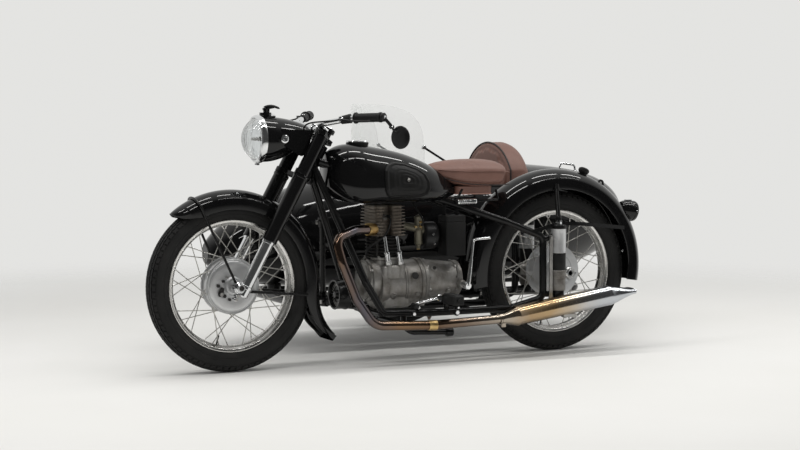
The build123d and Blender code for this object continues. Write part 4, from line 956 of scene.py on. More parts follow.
bar = {"end": (0.908, 0.332, 0.934), "bend": (0.972, 0.222, 0.93), "rise": (1.052, 0.118, 0.908),
    "root": (1.02, 0.04, 0.888), "diameter": 0.022}
frontAxle = wheelMiddle["front"]
steerAxis = vec(-math.sin(math.radians(fork["rake"])), 0, math.cos(math.radians(fork["rake"])))
steerForward = vec(steerAxis[2], 0, -steerAxis[0])
steerFoot = frontAxle - steerForward * fork["lead"]


def forkPoint(forward, side, height):
    return steerFoot + steerForward * forward + sideways * side + steerAxis * height


def makeFork():
    legs, covers, bolts, dark = [], [], [], []
    for s in both:
        foot = forkPoint(fork["offset"], s * fork["legs"], 0)
        legs.append(revolved(slider, foot, steerAxis, 64))
        covers.append(revolved(forkCover, foot, steerAxis, 64))
        hold = frontAxle + sideways * s * fork["legs"]
        half = sideways * 0.0135
        ring = [(-0.0135, 0.0135), (-0.0135, 0.0205), (-0.012, 0.0222), (0.012, 0.0222), (0.0135, 0.0205),
            (0.0135, 0.0135)]
        legs.append(revolved(ring, hold, sideways, 64))
        web = [(-0.024, -0.02), (0.004, -0.0225), (-0.008, -0.014), (-0.008, 0.014), (0.002, 0.0225), (-0.024, 0.024)]
        legs.append(slab(web, 0.024, hold - sideways * 0.012, steerForward, steerAxis, 0.002))
        for drop in (-0.03, -0.044):  # pinch bolts under the clamp
            spot = hold + steerForward * -0.006 + steerAxis * drop
            legs.append(rod(spot - half, spot + half, 0.014))
            bolts.append(hexagon(spot + sideways * s * 0.0135, sideways * s, 0.01, 0.005))
    piece("forkSliders", legs, "chrome", 34, "fork_legs", body="fork")
    piece("forkCovers", covers, "enamel", 30, "fork_covers", body="fork")
    shapes = [revolved(brakePlate, frontAxle, sideways, 144),
        rod(frontAxle - sideways * 0.119, frontAxle + sideways * 0.108, 0.0196)]
    for angle in (20, 140, 260):
        spot = wheelSpot(frontAxle, angle, 0.02, 0.06)
        bolts.append(rod(spot, spot + sideways * 0.0088, 0.006))
    piece("frontBrakePlate", shapes, "satin", 28, "front_axle", body="fork")
    nut = [(0.1085, 0.0095), (0.1085, 0.0165), (0.11, 0.0172), (0.1155, 0.0172), (0.1175, 0.015), (0.124, 0.0145),
        (0.125, 0.0135), (0.125, 0.0095)]
    piece("frontAxleNut", [revolved(nut, frontAxle, sideways, 48),
        hexagon(frontAxle - sideways * 0.1085, -sideways, 0.027, 0.01)], "chrome", 30, body="fork")
    dark.append(hexagon(frontAxle + sideways * 0.1175, sideways, 0.0175, 0.004))
    pivot = frontAxle + vec(0.052, 0.0346, -0.026)
    dark.append(rod(pivot, pivot + vec(0, 0.017, 0), 0.016))
    lever = [(-0.009, -0.006), (0.006, -0.011), (0.009, 0.004), (-0.004, 0.026), (-0.014, 0.022)]
    dark.append(slab(rounded(lever, 0.004), 0.006, pivot + vec(0, 0.013, 0), ahead, up, 0.001))
    for spot, size in ((vec(0.06, 0.036, 0.004), 0.012), (vec(0.04, 0.036, 0.02), 0.01),
            (vec(0.036, 0.036, -0.034), 0.013), (vec(0.016, 0.036, -0.048), 0.01)):
        dark.append(hexagon(frontAxle + spot, sideways, size, 0.01))
    bolts.append(hexagon(pivot + sideways * 0.019, sideways, 0.012, 0.006))
    spot = pivot + vec(-0.023, 0.012, 0.06)
    bolts.append(rod(spot, spot + vec(0, 0.01, 0), 0.009))
    piece("brakeLever", dark, "iron", body="fork")
    piece("forkBolts", bolts, "steel", body="fork")
    caps = [hexagon(forkPoint(fork["offset"], s * fork["legs"], 0.6605), steerAxis, 0.026, 0.007) for s in both]
    caps.append(hexagon(forkPoint(0, 0, 0.6905), steerAxis, 0.03, 0.004))
    piece("forkTopNuts", caps, "chrome", body="fork")


def lensRows():
    count = 144
    angles = np.linspace(0, 2 * math.pi, count, endpoint=False)
    rows, middle = [], vec(lamp["front"], 0, lamp["height"])
    radii = np.linspace(0, lamp["radius"], 44)
    for layer, order in ((0, radii), (1, radii[::-1])):
        for r in order:
            y, z = r * np.cos(angles), r * np.sin(angles)
            dome = lamp["sphereMiddle"] + math.sqrt(lamp["sphere"] ** 2 - r * r)
            fade = min(1, (lamp["radius"] - r) / 0.006)
            x = np.full(count, dome) - layer * (lamp["wall"]
                + lamp["flute"] * fade * np.cos(2 * math.pi * y / lamp["pitch"]))
            rows.append(middle + np.stack([x, y, z], axis=1))
    return rows


def makeHeadlamp():
    middle = vec(lamp["front"], 0, lamp["height"])
    piece("headlampGlass", [grid(lensRows(), caps=False)], "glass", 60, "headlamp_lens", body="fork")
    shapes = [revolved(lampRim, middle, ahead, 144)]
    hook = middle + vec(-0.008, 0, -0.088)
    shapes += [box(hook + vec(-0.006, -0.006, -0.008), hook + vec(0.006, 0.006, 0.003), 0.002),
        rod(hook + vec(0.005, 0, -0.004), hook + vec(0.011, 0, -0.004), 0.006)]
    piece("headlampRim", shapes, "chrome", 34, "headlamp_rim", body="fork")
    bowl = [(-0.0172 + lamp["bowl"] * (r / 0.0755) ** 2, r) for r in np.linspace(0, 0.0755, 56)]
    back = [(-0.0174, 0.0755), (-0.0174, 0)]
    piece("headlampReflector", [revolved(bowl + back, middle, ahead, 96)], "chrome", 60, body="fork")
    piece("headlampBulb", [rod(middle + vec(-0.0165, 0, 0), middle + vec(-0.006, 0, 0), 0.016),
        rod(middle + vec(-0.007, 0, 0), middle + vec(0.016, 0, 0), 0.012, 0.01, edge=0.004)], "steel", body="fork")
    shapes = []
    for s in both:
        boss = [(0, 0), (0, 0.014), (0.003, 0.0152), (0.0062, 0.0148), (0.008, 0.012), (0.0082, 0.0085),
            (0.005, 0.008), (0.005, 0)]
        shapes += [revolved(boss, (1.183, s * 0.0898, 0.854), sideways * s, 48),
            hexagon((1.183, s * 0.0948, 0.854), sideways * s, 0.011, 0.003)]
    piece("headlampSideBolts", shapes, "chrome", 30, body="fork")
    path = [vec(1.228, 0, 0.97), vec(1.21, 0, 0.9735), vec(1.188, 0, 0.972), vec(1.166, 0, 0.964)]
    shapes = [swept(smoothPath(path, 24), taper(24, [0, 0.15, 0.5, 0.9, 1], [0.003, 0.0065, 0.0085, 0.007, 0.003]),
        16, 0.62), revolved([(0, 0), (0, 0.026), (0.002, 0.0275), (0.005, 0.0265), (0.0062, 0.022), (0.0062, 0)],
        vec(1.21, 0, 0.93), vec(0.12, 0, 1), 48), rod((1.211, 0, 0.935), (1.209, 0, 0.972), 0.009)]
    piece("ignitionLever", shapes, "plastic", body="fork")
    piece("ignitionPlate", [revolved([(0, 0.018), (0, 0.0222), (0.0016, 0.0222), (0.0016, 0.018)],
        vec(1.21, 0, 0.943), up, 48)], "chrome", body="fork")


def makeBar():
    half = [vec(*bar[k]) for k in ("end", "bend", "rise", "root")]
    flip = vec(1, -1, 1)
    path = bent([*half, *[p * flip for p in reversed(half)]], 0.05, 10)
    tail = unit(half[0] * flip - half[1] * flip)  # the right end stays an open tube
    openEnd = half[0] * flip
    shapes = [swept(np.vstack([path[:-1], openEnd - tail * 0.04]), bar["diameter"] / 2, 32),
        revolved([(0, 0.008), (0, 0.011), (0.04, 0.011), (0.04, 0.008)], openEnd - tail * 0.04, tail, 32)]
    levers, black = [], []
    for s in both:
        mirror = vec(1, s, 1)
        shapes += [rod((1.02, s * 0.026, 0.872), (1.02, s * 0.026, 0.883), 0.026),
            rod((1.02, s * 0.016, 0.8885), (1.02, s * 0.036, 0.8885), 0.031),
            hexagon((1.02, s * 0.026, 0.902), up, 0.012, 0.006)]
        along = unit(half[1] - half[2]) * mirror
        spot = vec(0.987, 0.202, 0.928) * mirror
        shapes += [rod(spot - along * 0.009, spot + along * 0.009, 0.0275),
            rod(spot + vec(0.01, 0, -0.001), vec(1.014, 0.204, 0.926) * mirror, 0.015, 0.012),
            rod(vec(1.01, 0.202, 0.918) * mirror, vec(1.01, 0.202, 0.936) * mirror, 0.013)]
        blade = smoothPath([p * mirror for p in (vec(1.012, 0.196, 0.926), vec(0.996, 0.25, 0.922),
            vec(0.968, 0.306, 0.9195), vec(0.95, 0.334, 0.921))], 40)
        levers.append(swept(blade, taper(40, [0, 0.1, 0.85, 0.94, 1], [0.006, 0.0062, 0.0044, 0.0064, 0.005]), 16,
            0.62))
        inner = unit(half[2] - half[1]) * mirror
        black.append(rod(half[1] * mirror + inner * 0.003, half[1] * mirror + inner * 0.046, 0.0345, 0.03, 36, 0.003))
        start, end = half[1] * mirror, half[0] * mirror
        way = unit(end - start)
        length = np.linalg.norm(end - start)
        grip = [(0.0145, 0.0112), (0.0145, 0.0195), (0.0155, 0.0207), (0.019, 0.0207), (0.0205, 0.0175)]
        for step in range(14):
            at = 0.023 + step * (length - 0.03) / 14
            grip += [(at, 0.0166), (at + 0.0052, 0.0166), (at + 0.0058, 0.016), (at + 0.0066, 0.016)]
        grip += [(length - 0.006, 0.0172), (length - 0.004, 0.0186), (length + 0.001, 0.0186),
            (length + 0.0038, 0.0168), (length + 0.0038, 0.0112)]
        black.append(revolved(grip, start, way, 56))
    piece("handlebarTube", shapes, "chrome", 34, "handlebar", body="fork")
    piece("handLevers", levers, "plastic", 50, body="fork")
    piece("handlebarGrips", black, "moulded", 30, "handlebar_grips", body="fork")
    return half


def makeMirror(half):
    way = unit(half[0] - half[1])
    stub = half[0] + way * 0.0055
    clamp = [(0, 0), (0, 0.015), (0.0015, 0.0162), (0.0085, 0.0162), (0.0105, 0.014), (0.0115, 0)]
    facing = vec(*polar(25.6), 0)
    disc = vec(0.85, 0.3715, 0.862)
    back = [(-0.004, 0), (-0.004, 0.0395), (-0.003, 0.0415), (0.0, 0.0419), (0.0022, 0.0405), (0.0045, 0.034),
        (0.0056, 0.02), (0.006, 0)]
    arm = smoothPath([stub + way * 0.006, vec(0.886, 0.35, 0.914), vec(0.876, 0.353, 0.9), vec(0.864, 0.362, 0.882),
        disc + facing * 0.001 + vec(0, 0, 0.03)], 40)
    shapes = [revolved(clamp, stub, way, 48),
        swept(arm, np.interp(np.linspace(0, 1, 40), [0, 0.45, 0.55, 1], [0.0062, 0.0062, 0.004, 0.0036]), 16),
        rod(arm[20] - vec(0, 0.009, 0), arm[20] + vec(0, 0.009, 0), 0.014), revolved(back, disc, facing, 72)]
    piece("barEndMirror", shapes, "plastic", 34, "mirror", body="fork")
    piece("mirrorGlass", [rod(disc - facing * 0.0046, disc - facing * 0.0036, 0.074)], "chrome", body="fork")
    cap = [(0, 0), (0, 0.0062), (0.0014, 0.0062), (0.002, 0.005), (0.002, 0)]
    piece("mirrorClampScrew", [revolved(cap, stub + way * 0.011, way, 24),
        hexagon(arm[20] + vec(0, 0.009, 0), sideways, 0.008, 0.003)], "chrome", body="fork")


makeFork()
makeHeadlamp()
makeMirror(makeBar())
print("fork, headlamp and bar made")


# along, radius and middle height of the sections, from the gearbox's end to the front cover
engine = {"case": [(0.4362, 0.064, 0.306), (0.4368, 0.0685, 0.306), (0.4385, 0.07, 0.306), (0.455, 0.0706, 0.305),
    (0.457, 0.0695, 0.305), (0.4574, 0.0668, 0.305), (0.461, 0.0668, 0.305), (0.5, 0.0735, 0.303),
    (0.54, 0.08, 0.301), (0.584, 0.0858, 0.299), (0.5868, 0.087, 0.299), (0.5876, 0.0905, 0.298),
    (0.5895, 0.0926, 0.298), (0.6015, 0.0926, 0.298), (0.6028, 0.0918, 0.298), (0.6032, 0.09, 0.298),
    (0.605, 0.09, 0.298), (0.6056, 0.0925, 0.298), (0.6072, 0.0939, 0.298), (0.617, 0.0939, 0.298),
    (0.6195, 0.0926, 0.298), (0.6206, 0.089, 0.298), (0.6704, 0.0892, 0.298), (0.6716, 0.0925, 0.298),
    (0.6732, 0.0937, 0.298), (0.68, 0.0937, 0.298), (0.6806, 0.0915, 0.298), (0.6822, 0.0915, 0.298),
    (0.6828, 0.0937, 0.298), (0.687, 0.0937, 0.298), (0.6884, 0.0926, 0.298), (0.6892, 0.0898, 0.298),
    (0.756, 0.0898, 0.298), (0.7572, 0.0925, 0.298), (0.7592, 0.094, 0.298), (0.785, 0.094, 0.298),
    (0.7874, 0.0926, 0.298), (0.788, 0.0835, 0.298)],
    "cover": [(0.7872, 0.08, 0.316), (0.788, 0.0838, 0.316), (0.817, 0.0838, 0.316), (0.8192, 0.0826, 0.316),
    (0.82, 0.0765, 0.316), (0.8222, 0.0748, 0.316), (0.8285, 0.0742, 0.316), (0.83, 0.0725, 0.316),
    (0.8306, 0.065, 0.316), (0.8345, 0.0625, 0.316), (0.8358, 0.058, 0.316), (0.8359, 0.03, 0.316)], "lead": 0.745,
    "low": 0.402, "headLow": 0.4834, "fins": 10, "pitch": 0.012, "fin": 0.0032, "barrelFins": 6,
    "barrelPitch": 0.0125, "slot": (0.737, 0.765, 0.026)}
pushrods = {"foot": [(0.759, 0.08, 0.376), (0.708, 0.08, 0.376)],
    "top": [(0.7735, 0.077, 0.4832), (0.724, 0.077, 0.4832)]}


def stations(table, steps=120):
    angles = np.linspace(0, 2 * math.pi, steps, endpoint=False)
    return grid([np.stack([np.full(steps, x), r * np.cos(angles), z + r * np.sin(angles)], axis=1) for x, r,
        z in table])


def caseSide(x, z, out=0.0):  # a point on the case's left side and the way it faces
    xs = [s[0] for s in engine["case"]]
    r = np.interp(x, xs, [s[1] for s in engine["case"]])
    middle = np.interp(x, xs, [s[2] for s in engine["case"]])
    facing = vec(0, math.sqrt(max(r * r - (z - middle) ** 2, 0)), z - middle) / r
    return vec(x, 0, middle) + facing * (r + out), facing


def makeCase():
    shapes = [stations(engine["case"]), stations(engine["cover"]),
        box((0.686, -0.062, 0.335), (0.802, 0.062, 0.3935), 0.028, 0.003),
        box((0.682, -0.066, 0.3925), (0.806, 0.066, 0.4018), 0.03, 0.0015),
        box((0.662, -0.076, 0.2105), (0.784, 0.076, 0.3), 0.02, 0.006)]
    for x, z, wide, tall in [(0.651, 0.329, 0.034, 0.005), (0.5, 0.268, 0.024, 0.005), (0.56, 0.352, 0.026, 0.004),
            (0.64, 0.262, 0.022, 0.003), (0.737, 0.256, 0.03, 0.0035)]:
        spot, facing = caseSide(x, z)
        shapes.append(rod(spot - facing * 0.008, spot + facing * tall, wide, wide - 0.003, 32, 0.0015))
    for foot in pushrods["foot"]:
        shapes.append(rod(vec(*foot) - up * 0.05, foot, 0.027, 0.025, 32, 0.001))
    shapes += [box((0.69, 0.056, 0.318), (0.786, 0.089, 0.372), 0.012, 0.006),
        rod((0.446, 0.056, 0.292), (0.446, 0.088, 0.2892), 0.036, 0.03, 32, 0.002)]
    piece("engineCase", shapes, "cast", 30, "engine_case")
    head = hexagon((0, 0, 0), up, 0.0095, 0.0055)
    marks = (boltCircle(vec(0.588, 0, 0.298), 0.088, 12, 15, -ahead)
        + boltCircle(vec(0.4572, 0, 0.305), 0.069, 9, 10, ahead)
        + boltCircle(vec(0.8198, 0, 0.316), 0.0792, 6, 30, ahead))
    marks += [(vec(x, y, 0.4016), up, ahead) for x in (0.7, 0.788) for y in (0.054, -0.054)]
    repeat("engineBolts", head, marks, "steel", 30)
    dark, bright = [], []
    for x, z, wide, tall in [(0.651, 0.329, 0.024, 0.0078), (0.56, 0.352, 0.013, 0.006)]:
        spot, facing = caseSide(x, z)
        dark += [hexagon(spot + facing * 0.003, facing, wide, tall),
            rod(spot + facing * 0.003, spot + facing * (tall - 0.001), wide * 1.16, sides=32)]
    piece("casePlugs", dark, "iron", 30)
    for x, z, wide in [(0.5, 0.268, 0.015), (0.64, 0.262, 0.013), (0.737, 0.256, 0.016)]:
        spot, facing = caseSide(x, z)
        bright.append(hexagon(spot + facing * 0.003, facing, wide, 0.0065))
    bright.append(hexagon((0.8358, 0, 0.316), ahead, 0.022, 0.0002))
    piece("caseNuts", bright, "steel", 30)


def finOutline(grow):  # a head fin seen from above, with the plug's slot in its left side
    a, b, lead = 0.07 + grow, 0.072, engine["lead"]
    rear, front, deep = engine["slot"]
    loop = [tuple(p) for p in rounded([(lead - a, 0.03), (lead - a, -b), (lead + a, -b), (lead + a, 0.03)], 0.024, 8)
        if p[1] < 0.031]
    for start, end in ((lead + a, front), (rear, lead - a)):  # each half's side is a soft arch
        for t in np.linspace(0, math.pi, 18):
            loop.append(((start + end) / 2 + (start - end) / 2 * math.cos(t),
                0.036 + (b - 0.036) * math.sin(t) ** 0.55))
        if start > lead:
            loop += [(front, deep + 0.003), (front - 0.003, deep), (rear + 0.003, deep), (rear, deep + 0.003)]
    return loop


def makeTop():
    lead, shapes = engine["lead"], []
    profile = [(0.0004, 0), (0.0004, 0.0505)]
    for k in range(engine["barrelFins"]):
        h = 0.008 + k * engine["barrelPitch"]
        profile += [(h - 0.0012, 0.0505), (h + 0.0002, 0.067), (h + 0.0008, 0.0679), (h + 0.0026, 0.0679),
            (h + 0.0032, 0.067), (h + 0.0046, 0.0505)]
    profile += [(0.0808, 0.0505), (0.0808, 0)]
    shapes.append(revolved(profile, (lead, 0, engine["low"]), up, 128))
    for x, y in rectangle((-0.044, -0.044), (0.044, 0.044)):
        shapes.append(rod((lead + x, y, 0.4024), (lead + x, y, 0.4828), 0.012, sides=20))
    piece("cylinderBarrel", shapes, "iron", 36, "cylinder")
    low, high = engine["headLow"], 0.5995
    shapes = [box((lead - 0.056, -0.056, low), (engine["slot"][0] - 0.004, 0.056, high), 0.012, 0.002),
        box((engine["slot"][1] + 0.004, -0.056, low), (lead + 0.056, 0.056, high), 0.012, 0.002),
        box((engine["slot"][0] - 0.012, -0.056, low), (engine["slot"][1] + 0.012, 0.024, high), 0.006, 0.002)]
    for k in range(engine["fins"]):
        grow = -0.0002 - 0.0016 * max(0, k - 6)
        low = engine["headLow"] + 0.0012 + k * engine["pitch"]
        shapes.append(slab(finOutline(grow), engine["fin"], (0, 0, low), ahead, sideways, 0.0007))
    piece("headFins", shapes, "headCast", 30, "cylinder_head")
    shapes, nuts = [], []
    for foot, top in zip(pushrods["foot"], pushrods["top"]):
        foot, top = vec(*foot), vec(*top)
        way = unit(top - foot)
        lower = [(0, 0.006), (0, 0.0102), (0.035, 0.0096), (0.039, 0.0099), (0.0405, 0.0112), (0.0455, 0.0112),
            (0.047, 0.0098), (0.049, 0.0072), (0.053, 0.0062), (0.106, 0.0058), (0.106, 0.004)]
        shapes.append(revolved(lower, foot + way * 0.002, way, 40))
        nuts += [hexagon(foot, way, 0.0225, 0.0105), hexagon(foot + way * 0.0118, way, 0.0205, 0.0035)]
    piece("pushrodTubes", shapes, "chrome", 34, "pushrod_tubes")
    piece("pushrodNuts", nuts, "polished", 30)
    # spark plug with its cap and lead
    foot = vec(0.751, 0.0235, 0.55)
    way = unit((0.02, 1, 0.22))
    piece("sparkPlug", [hexagon(foot, way, 0.019, 0.01), rod(foot + way * 0.01, foot + way * 0.03, 0.011, 0.009),
        rod(foot + way * 0.03, foot + way * 0.034, 0.012)], "steel")
    tip = foot + way * 0.034
    piece("plugCap", [rod(tip, tip + way * 0.016 - up * 0.002, 0.0135, 0.0115, 24, 0.002)], "moulded")
    route = [tip + way * 0.01, vec(0.754, 0.085, 0.544), vec(0.76, 0.085, 0.515), vec(0.778, 0.085, 0.488),
        vec(0.808, 0.08, 0.464), vec(0.836, 0.064, 0.438), vec(0.833, 0.04, 0.406), vec(0.812, 0.025, 0.396)]
    piece("plugLead", [swept(smoothPath(route, 60), 0.0034, 12)], "moulded")


def makeIntake():
    x, y = 0.614, 0.04
    middle = vec(x, y, 0)
    bowl = [(0.429, 0), (0.429, 0.006), (0.43, 0.0078), (0.438, 0.008), (0.439, 0.0095), (0.444, 0.0098),
        (0.446, 0.014), (0.448, 0.0158), (0.45, 0.0163), (0.496, 0.0163), (0.4975, 0.017), (0.4985, 0.019),
        (0.504, 0.019), (0.5048, 0.018), (0.505, 0)]
    shapes = [revolved(bowl, middle, up, 56)]
    chamber = [(0.5048, 0), (0.5048, 0.015), (0.544, 0.015), (0.545, 0.0172), (0.552, 0.0172), (0.553, 0.015),
        (0.556, 0.011), (0.557, 0.005), (0.5595, 0.0045), (0.5598, 0)]
    shapes.append(revolved(chamber, middle, up, 56))
    inlet, outlet = vec(0.676, 0.024, 0.52), vec(0.596, 0.04, 0.503)
    shapes += [rod(inlet, outlet, 0.03, 0.034, 40, 0.002),
        rod(inlet, inlet + unit(outlet - inlet) * 0.008, 0.037, None, 40, 0.001),
        rod(outlet - unit(outlet - inlet) * 0.004, outlet + unit(outlet - inlet) * 0.003, 0.0378, None, 40)]
    piece("carburettorBody", shapes, "carb", 34, "carburettor")
    bits = [hexagon(middle + up * 0.4262, up, 0.0125, 0.0036)]
    for a in (20, 110, 200, 290):
        spot = middle + vec(*polar(a, 0.0164), 0.504)
        bits.append(rod(spot, spot + up * 0.003, 0.0055, sides=16))
    for z, out in ((0.532, 0.01), (0.516, 0.012)):
        bits += [hexagon(middle + vec(0, 0.0145, z), sideways, 0.0098, out),
            rod(middle + vec(0, 0.0145 + out, z), middle + vec(0, 0.0175 + out, z), 0.0065)]
    bits.append(rod(middle + vec(0.022, 0.014, 0.514), middle + vec(0.022, 0.026, 0.514), 0.0085))
    piece("carburettorUnions", bits, "brass", 30)
    fuel = [middle + vec(0, 0.027, 0.516), middle + vec(-0.004, 0.03, 0.54), vec(0.628, 0.052, 0.58),
        vec(0.64, 0.04, 0.614)]
    piece("fuelPipe", [swept(smoothPath(fuel, 40), 0.0036, 12)], "moulded")
    drum = [(0, 0), (0, 0.03), (0.0015, 0.046), (0.004, 0.05), (0.008, 0.0518), (0.015, 0.0519), (0.016, 0.0508),
        (0.0185, 0.0508), (0.0195, 0.0519), (0.048, 0.0519), (0.052, 0.0512), (0.056, 0.048), (0.0576, 0.043),
        (0.0579, 0.02), (0.0579, 0)]
    piece("filterDrum", [revolved(drum, (0.5402, 0.03, 0.478), ahead, 96)], "plastic", 40, "air_filter")
    bits = [rod((0.57, 0.0805, 0.486), (0.57, 0.0838, 0.4862), 0.0095),
        hexagon((0.562, 0.072, 0.448), sideways, 0.008, 0.006), hexagon((0.5402, 0.03, 0.478), -ahead, 0.012, 0.0001)]
    piece("filterBolts", bits, "chrome")
    low, high = (0.4424, 0.0284, 0.4022), (0.5276, 0.1056, 0.5558)
    shapes = [box(low, (high[0], high[1], 0.53), 0.007, 0.002),
        box((low[0] + 0.0008, low[1] + 0.0008, 0.529), (high[0] - 0.0008, high[1] - 0.0008, 0.5315), 0.006, 0.0002),
        box((low[0], low[1], 0.531), high, 0.009, 0.003)]
    piece("batteryBox", shapes, "matteBlack", 34, "battery_box")


makeCase()
makeTop()
makeIntake()
print("engine made")


# along the silencer, half width, half height
exhaust = {"route": [(0.806, 0.053, 0.51), (0.905, 0.096, 0.512), (1.002, 0.138, 0.486), (0.985, 0.16, 0.4),
    (0.93, 0.165, 0.262), (0.858, 0.168, 0.16), (0.62, 0.174, 0.15), (0.331, 0.18, 0.1592)], "diameter": 0.036,
    "bend": 0.075, "start": (0.33, 0.18, 0.159), "heading": (-0.606, 0, 0.086),
    "sections": [(0, 0.0196, 0.0196), (0.006, 0.0212, 0.0212), (0.014, 0.0214, 0.0214), (0.058, 0.0376, 0.0376),
    (0.064, 0.0398, 0.0398), (0.07, 0.0398, 0.0398), (0.072, 0.039, 0.039), (0.482, 0.039, 0.039),
    (0.484, 0.0398, 0.0398), (0.49, 0.0398, 0.0398), (0.493, 0.039, 0.0384), (0.515, 0.04, 0.032),
    (0.545, 0.0426, 0.022), (0.57, 0.0442, 0.0146), (0.582, 0.045, 0.0132), (0.588, 0.0455, 0.0132),
    (0.59, 0.0451, 0.0126), (0.588, 0.0436, 0.0112), (0.56, 0.0415, 0.0135), (0.53, 0.037, 0.02)]}


def flatSection(wide, tall, steps=96):  # round when wide and tall are alike, boxier as it flattens
    power = 1 if wide < tall * 1.15 else 0.82
    angles = np.linspace(0, 2 * math.pi, steps, endpoint=False)
    c, s = np.cos(angles), np.sin(angles)
    return np.stack([wide * np.sign(c) * np.abs(c) ** power, tall * np.sign(s) * np.abs(s) ** power], axis=1)


def makeExhaust():
    path = bent([vec(*p) for p in exhaust["route"]], exhaust["bend"], 14)
    piece("exhaustBend", [swept(path, exhaust["diameter"] / 2, 40)], "heated", 60, "exhaust_pipe")
    port, way = vec(0.8065, 0.053, 0.51), unit((0.042, 0.018, 0.001))
    union = [(0, 0.0178), (0, 0.0215)]
    for k in range(5):
        union += [(0.003 + k * 0.0072, 0.0215), (0.0036 + k * 0.0072, 0.0238), (0.0068 + k * 0.0072, 0.0238),
            (0.0074 + k * 0.0072, 0.0215)]
    union += [(0.04, 0.0205), (0.04, 0.0178)]
    piece("exhaustUnion", [revolved(union, port, way, 64)], "brass", 34)
    heading = unit(vec(*exhaust["heading"]))
    upward = np.cross(heading, sideways)
    upward *= math.copysign(1, upward[2])
    start, rows = vec(*exhaust["start"]), []
    for reach, wide, tall in exhaust["sections"]:
        flat = flatSection(wide, tall)
        rows.append(start + heading * reach + flat[:, :1] * sideways + flat[:, 1:] * upward)
    piece("silencerDrum", [grid(rows)], "heated", 40, "silencer")
    bands = []
    for reach, r in ((0.008, 0.0224), (0.0, 0.0222)):
        bands.append(revolved([(-0.004, r - 0.003), (-0.0035, r), (0.0035, r), (0.004, r - 0.003)],
            start + heading * (reach - 0.006), heading, 56))
    ear = start + heading * 0.002 + vec(0, 0.016, -0.02)
    bands.append(box(ear + vec(-0.009, -0.004, -0.01), ear + vec(0.009, 0.004, 0.006), 0.002, 0.001))
    piece("pipeClamp", bands, "heated", 36)
    joint, along = vec(0.622, 0.1738, 0.1503), unit((0.238, -0.006, 0.01))
    collar = [(-0.017, 0.0176), (-0.0168, 0.0196), (-0.014, 0.02), (-0.012, 0.0194), (0.012, 0.0194), (0.014, 0.02),
        (0.0168, 0.0196), (0.017, 0.0176)]
    piece("pipeCollar", [revolved(collar, joint, along, 56)], "brass", 36)
    at = start + heading * 0.3
    foot = at - upward * 0.0382
    shapes = [box(foot + vec(-0.03, -0.012, -0.012), foot + vec(0.03, 0.012, 0.001), 0.004, 0.0015)]
    piece("silencerBracket", shapes, "steel")
    bolts = [hexagon(foot + vec(-0.018, 0, -0.0118), -up, 0.01, 0.004),
        hexagon(foot + vec(0.018, 0, -0.0118), -up, 0.01, 0.004),
        hexagon((0.083, 0.1365, 0.458), sideways, 0.014, 0.006)]
    piece("silencerBolts", bolts, "steel", 30)


makeExhaust()
print("exhaust made")


# x, bottom, top, half width of the form before it swells
pads = {"saddle": [(0.568, 0.723, 0.744, 0.03), (0.525, 0.698, 0.749, 0.07), (0.475, 0.68, 0.756, 0.098),
    (0.43, 0.67, 0.76, 0.114), (0.38, 0.666, 0.7625, 0.127), (0.33, 0.665, 0.7625, 0.134),
    (0.29, 0.666, 0.7585, 0.132), (0.265, 0.669, 0.75, 0.126)],
    "seat": {"low": (0.036, -0.768, 0.383), "high": (0.424, -0.352, 0.49), "corner": 0.055},
    "back": {"low": (-0.1135, -0.757, 0.524), "high": (-0.008, -0.363, 0.703), "rise": 0.113}, "steps": 20,
    "pressure": 3.5, "cap": 0.007, "voxel": 0.005, "hold": 0.9}


def closedForm(name, rows):
    points, faces = grid(rows)
    return placed(name, meshOf(name, points + origin, faces))


def swell(thing, cap, low, high):  # blown up as cloth; no point moves further than cap or out of the box
    remesh = thing.modifiers.new("voxels", "REMESH")
    remesh.mode, remesh.voxel_size = "VOXEL", pads["voxel"]
    applyModifiers(thing)
    before = readPoints(thing.data)
    outward = readPoints(thing.data, "vertex_normals", "vector")
    cloth = thing.modifiers.new("cloth", "CLOTH")
    cloth.settings.use_pressure = True
    cloth.settings.uniform_pressure_force = pads["pressure"]
    cloth.settings.effector_weights.gravity = 0
    cloth.settings.tension_stiffness = cloth.settings.compression_stiffness = 22
    cloth.settings.bending_stiffness = 1.2
    cloth.settings.quality = 6
    scene = bpy.context.scene
    for step in range(1, pads["steps"] + 1):
        scene.frame_set(step)
    applyModifiers(thing)
    scene.frame_set(1)
    after = readPoints(thing.data)
    move = after - before
    inward = np.minimum(np.einsum("ij,ij->i", move, outward), 0)
    move -= outward * (inward * pads["hold"])[:, None]  # the frame under the cover keeps its edges from sinking
    length = np.linalg.norm(move, axis=1)
    move *= (np.minimum(length, cap) / np.maximum(length, 1e-9))[:, None]
    after = np.clip(before + move, np.asarray(low) + origin, np.asarray(high) + origin)
    thing.data.vertices.foreach_set("co", after.ravel())
    thing.data.update()
    smooth = thing.modifiers.new("soft", "SUBSURF")
    smooth.levels = smooth.render_levels = 1
    applyModifiers(thing)


def applyModifiers(thing):
    mesh = evaluated(thing)
    thing.modifiers.clear()
    thing.data = mesh


def saddleRow(x, low, high, wide):  # crowned on top, flat below, with soft shoulders
    ring = []
    for a in ringAngles(48):
        c, s = math.cos(a), math.sin(a)
        y = wide * math.copysign(abs(c) ** 0.72, c)
        z = (low + high) / 2 + (high - low) / 2 * math.copysign(abs(s) ** (0.66 if s > 0 else 0.34), s)
        if s > 0:
            z -= 0.012 * (abs(y) / wide) ** 2.4 * s
        ring.append((x, y, z))
    return ring


def saddleShape(t):  # the saddle's section at t, 0 at the nose and 1 at the rear
    table = np.array(pads["saddle"])
    knots = np.linspace(0, 1, len(table))
    return [float(spline(knots, table[:, i], [t])[0]) for i in range(4)]


def seam(name, points, radius, finish, closed=False):
    points = np.asarray(points)
    if closed:
        points = np.vstack([points, points[:1]])
    piece(name, [swept(points, radius, 10)], finish)


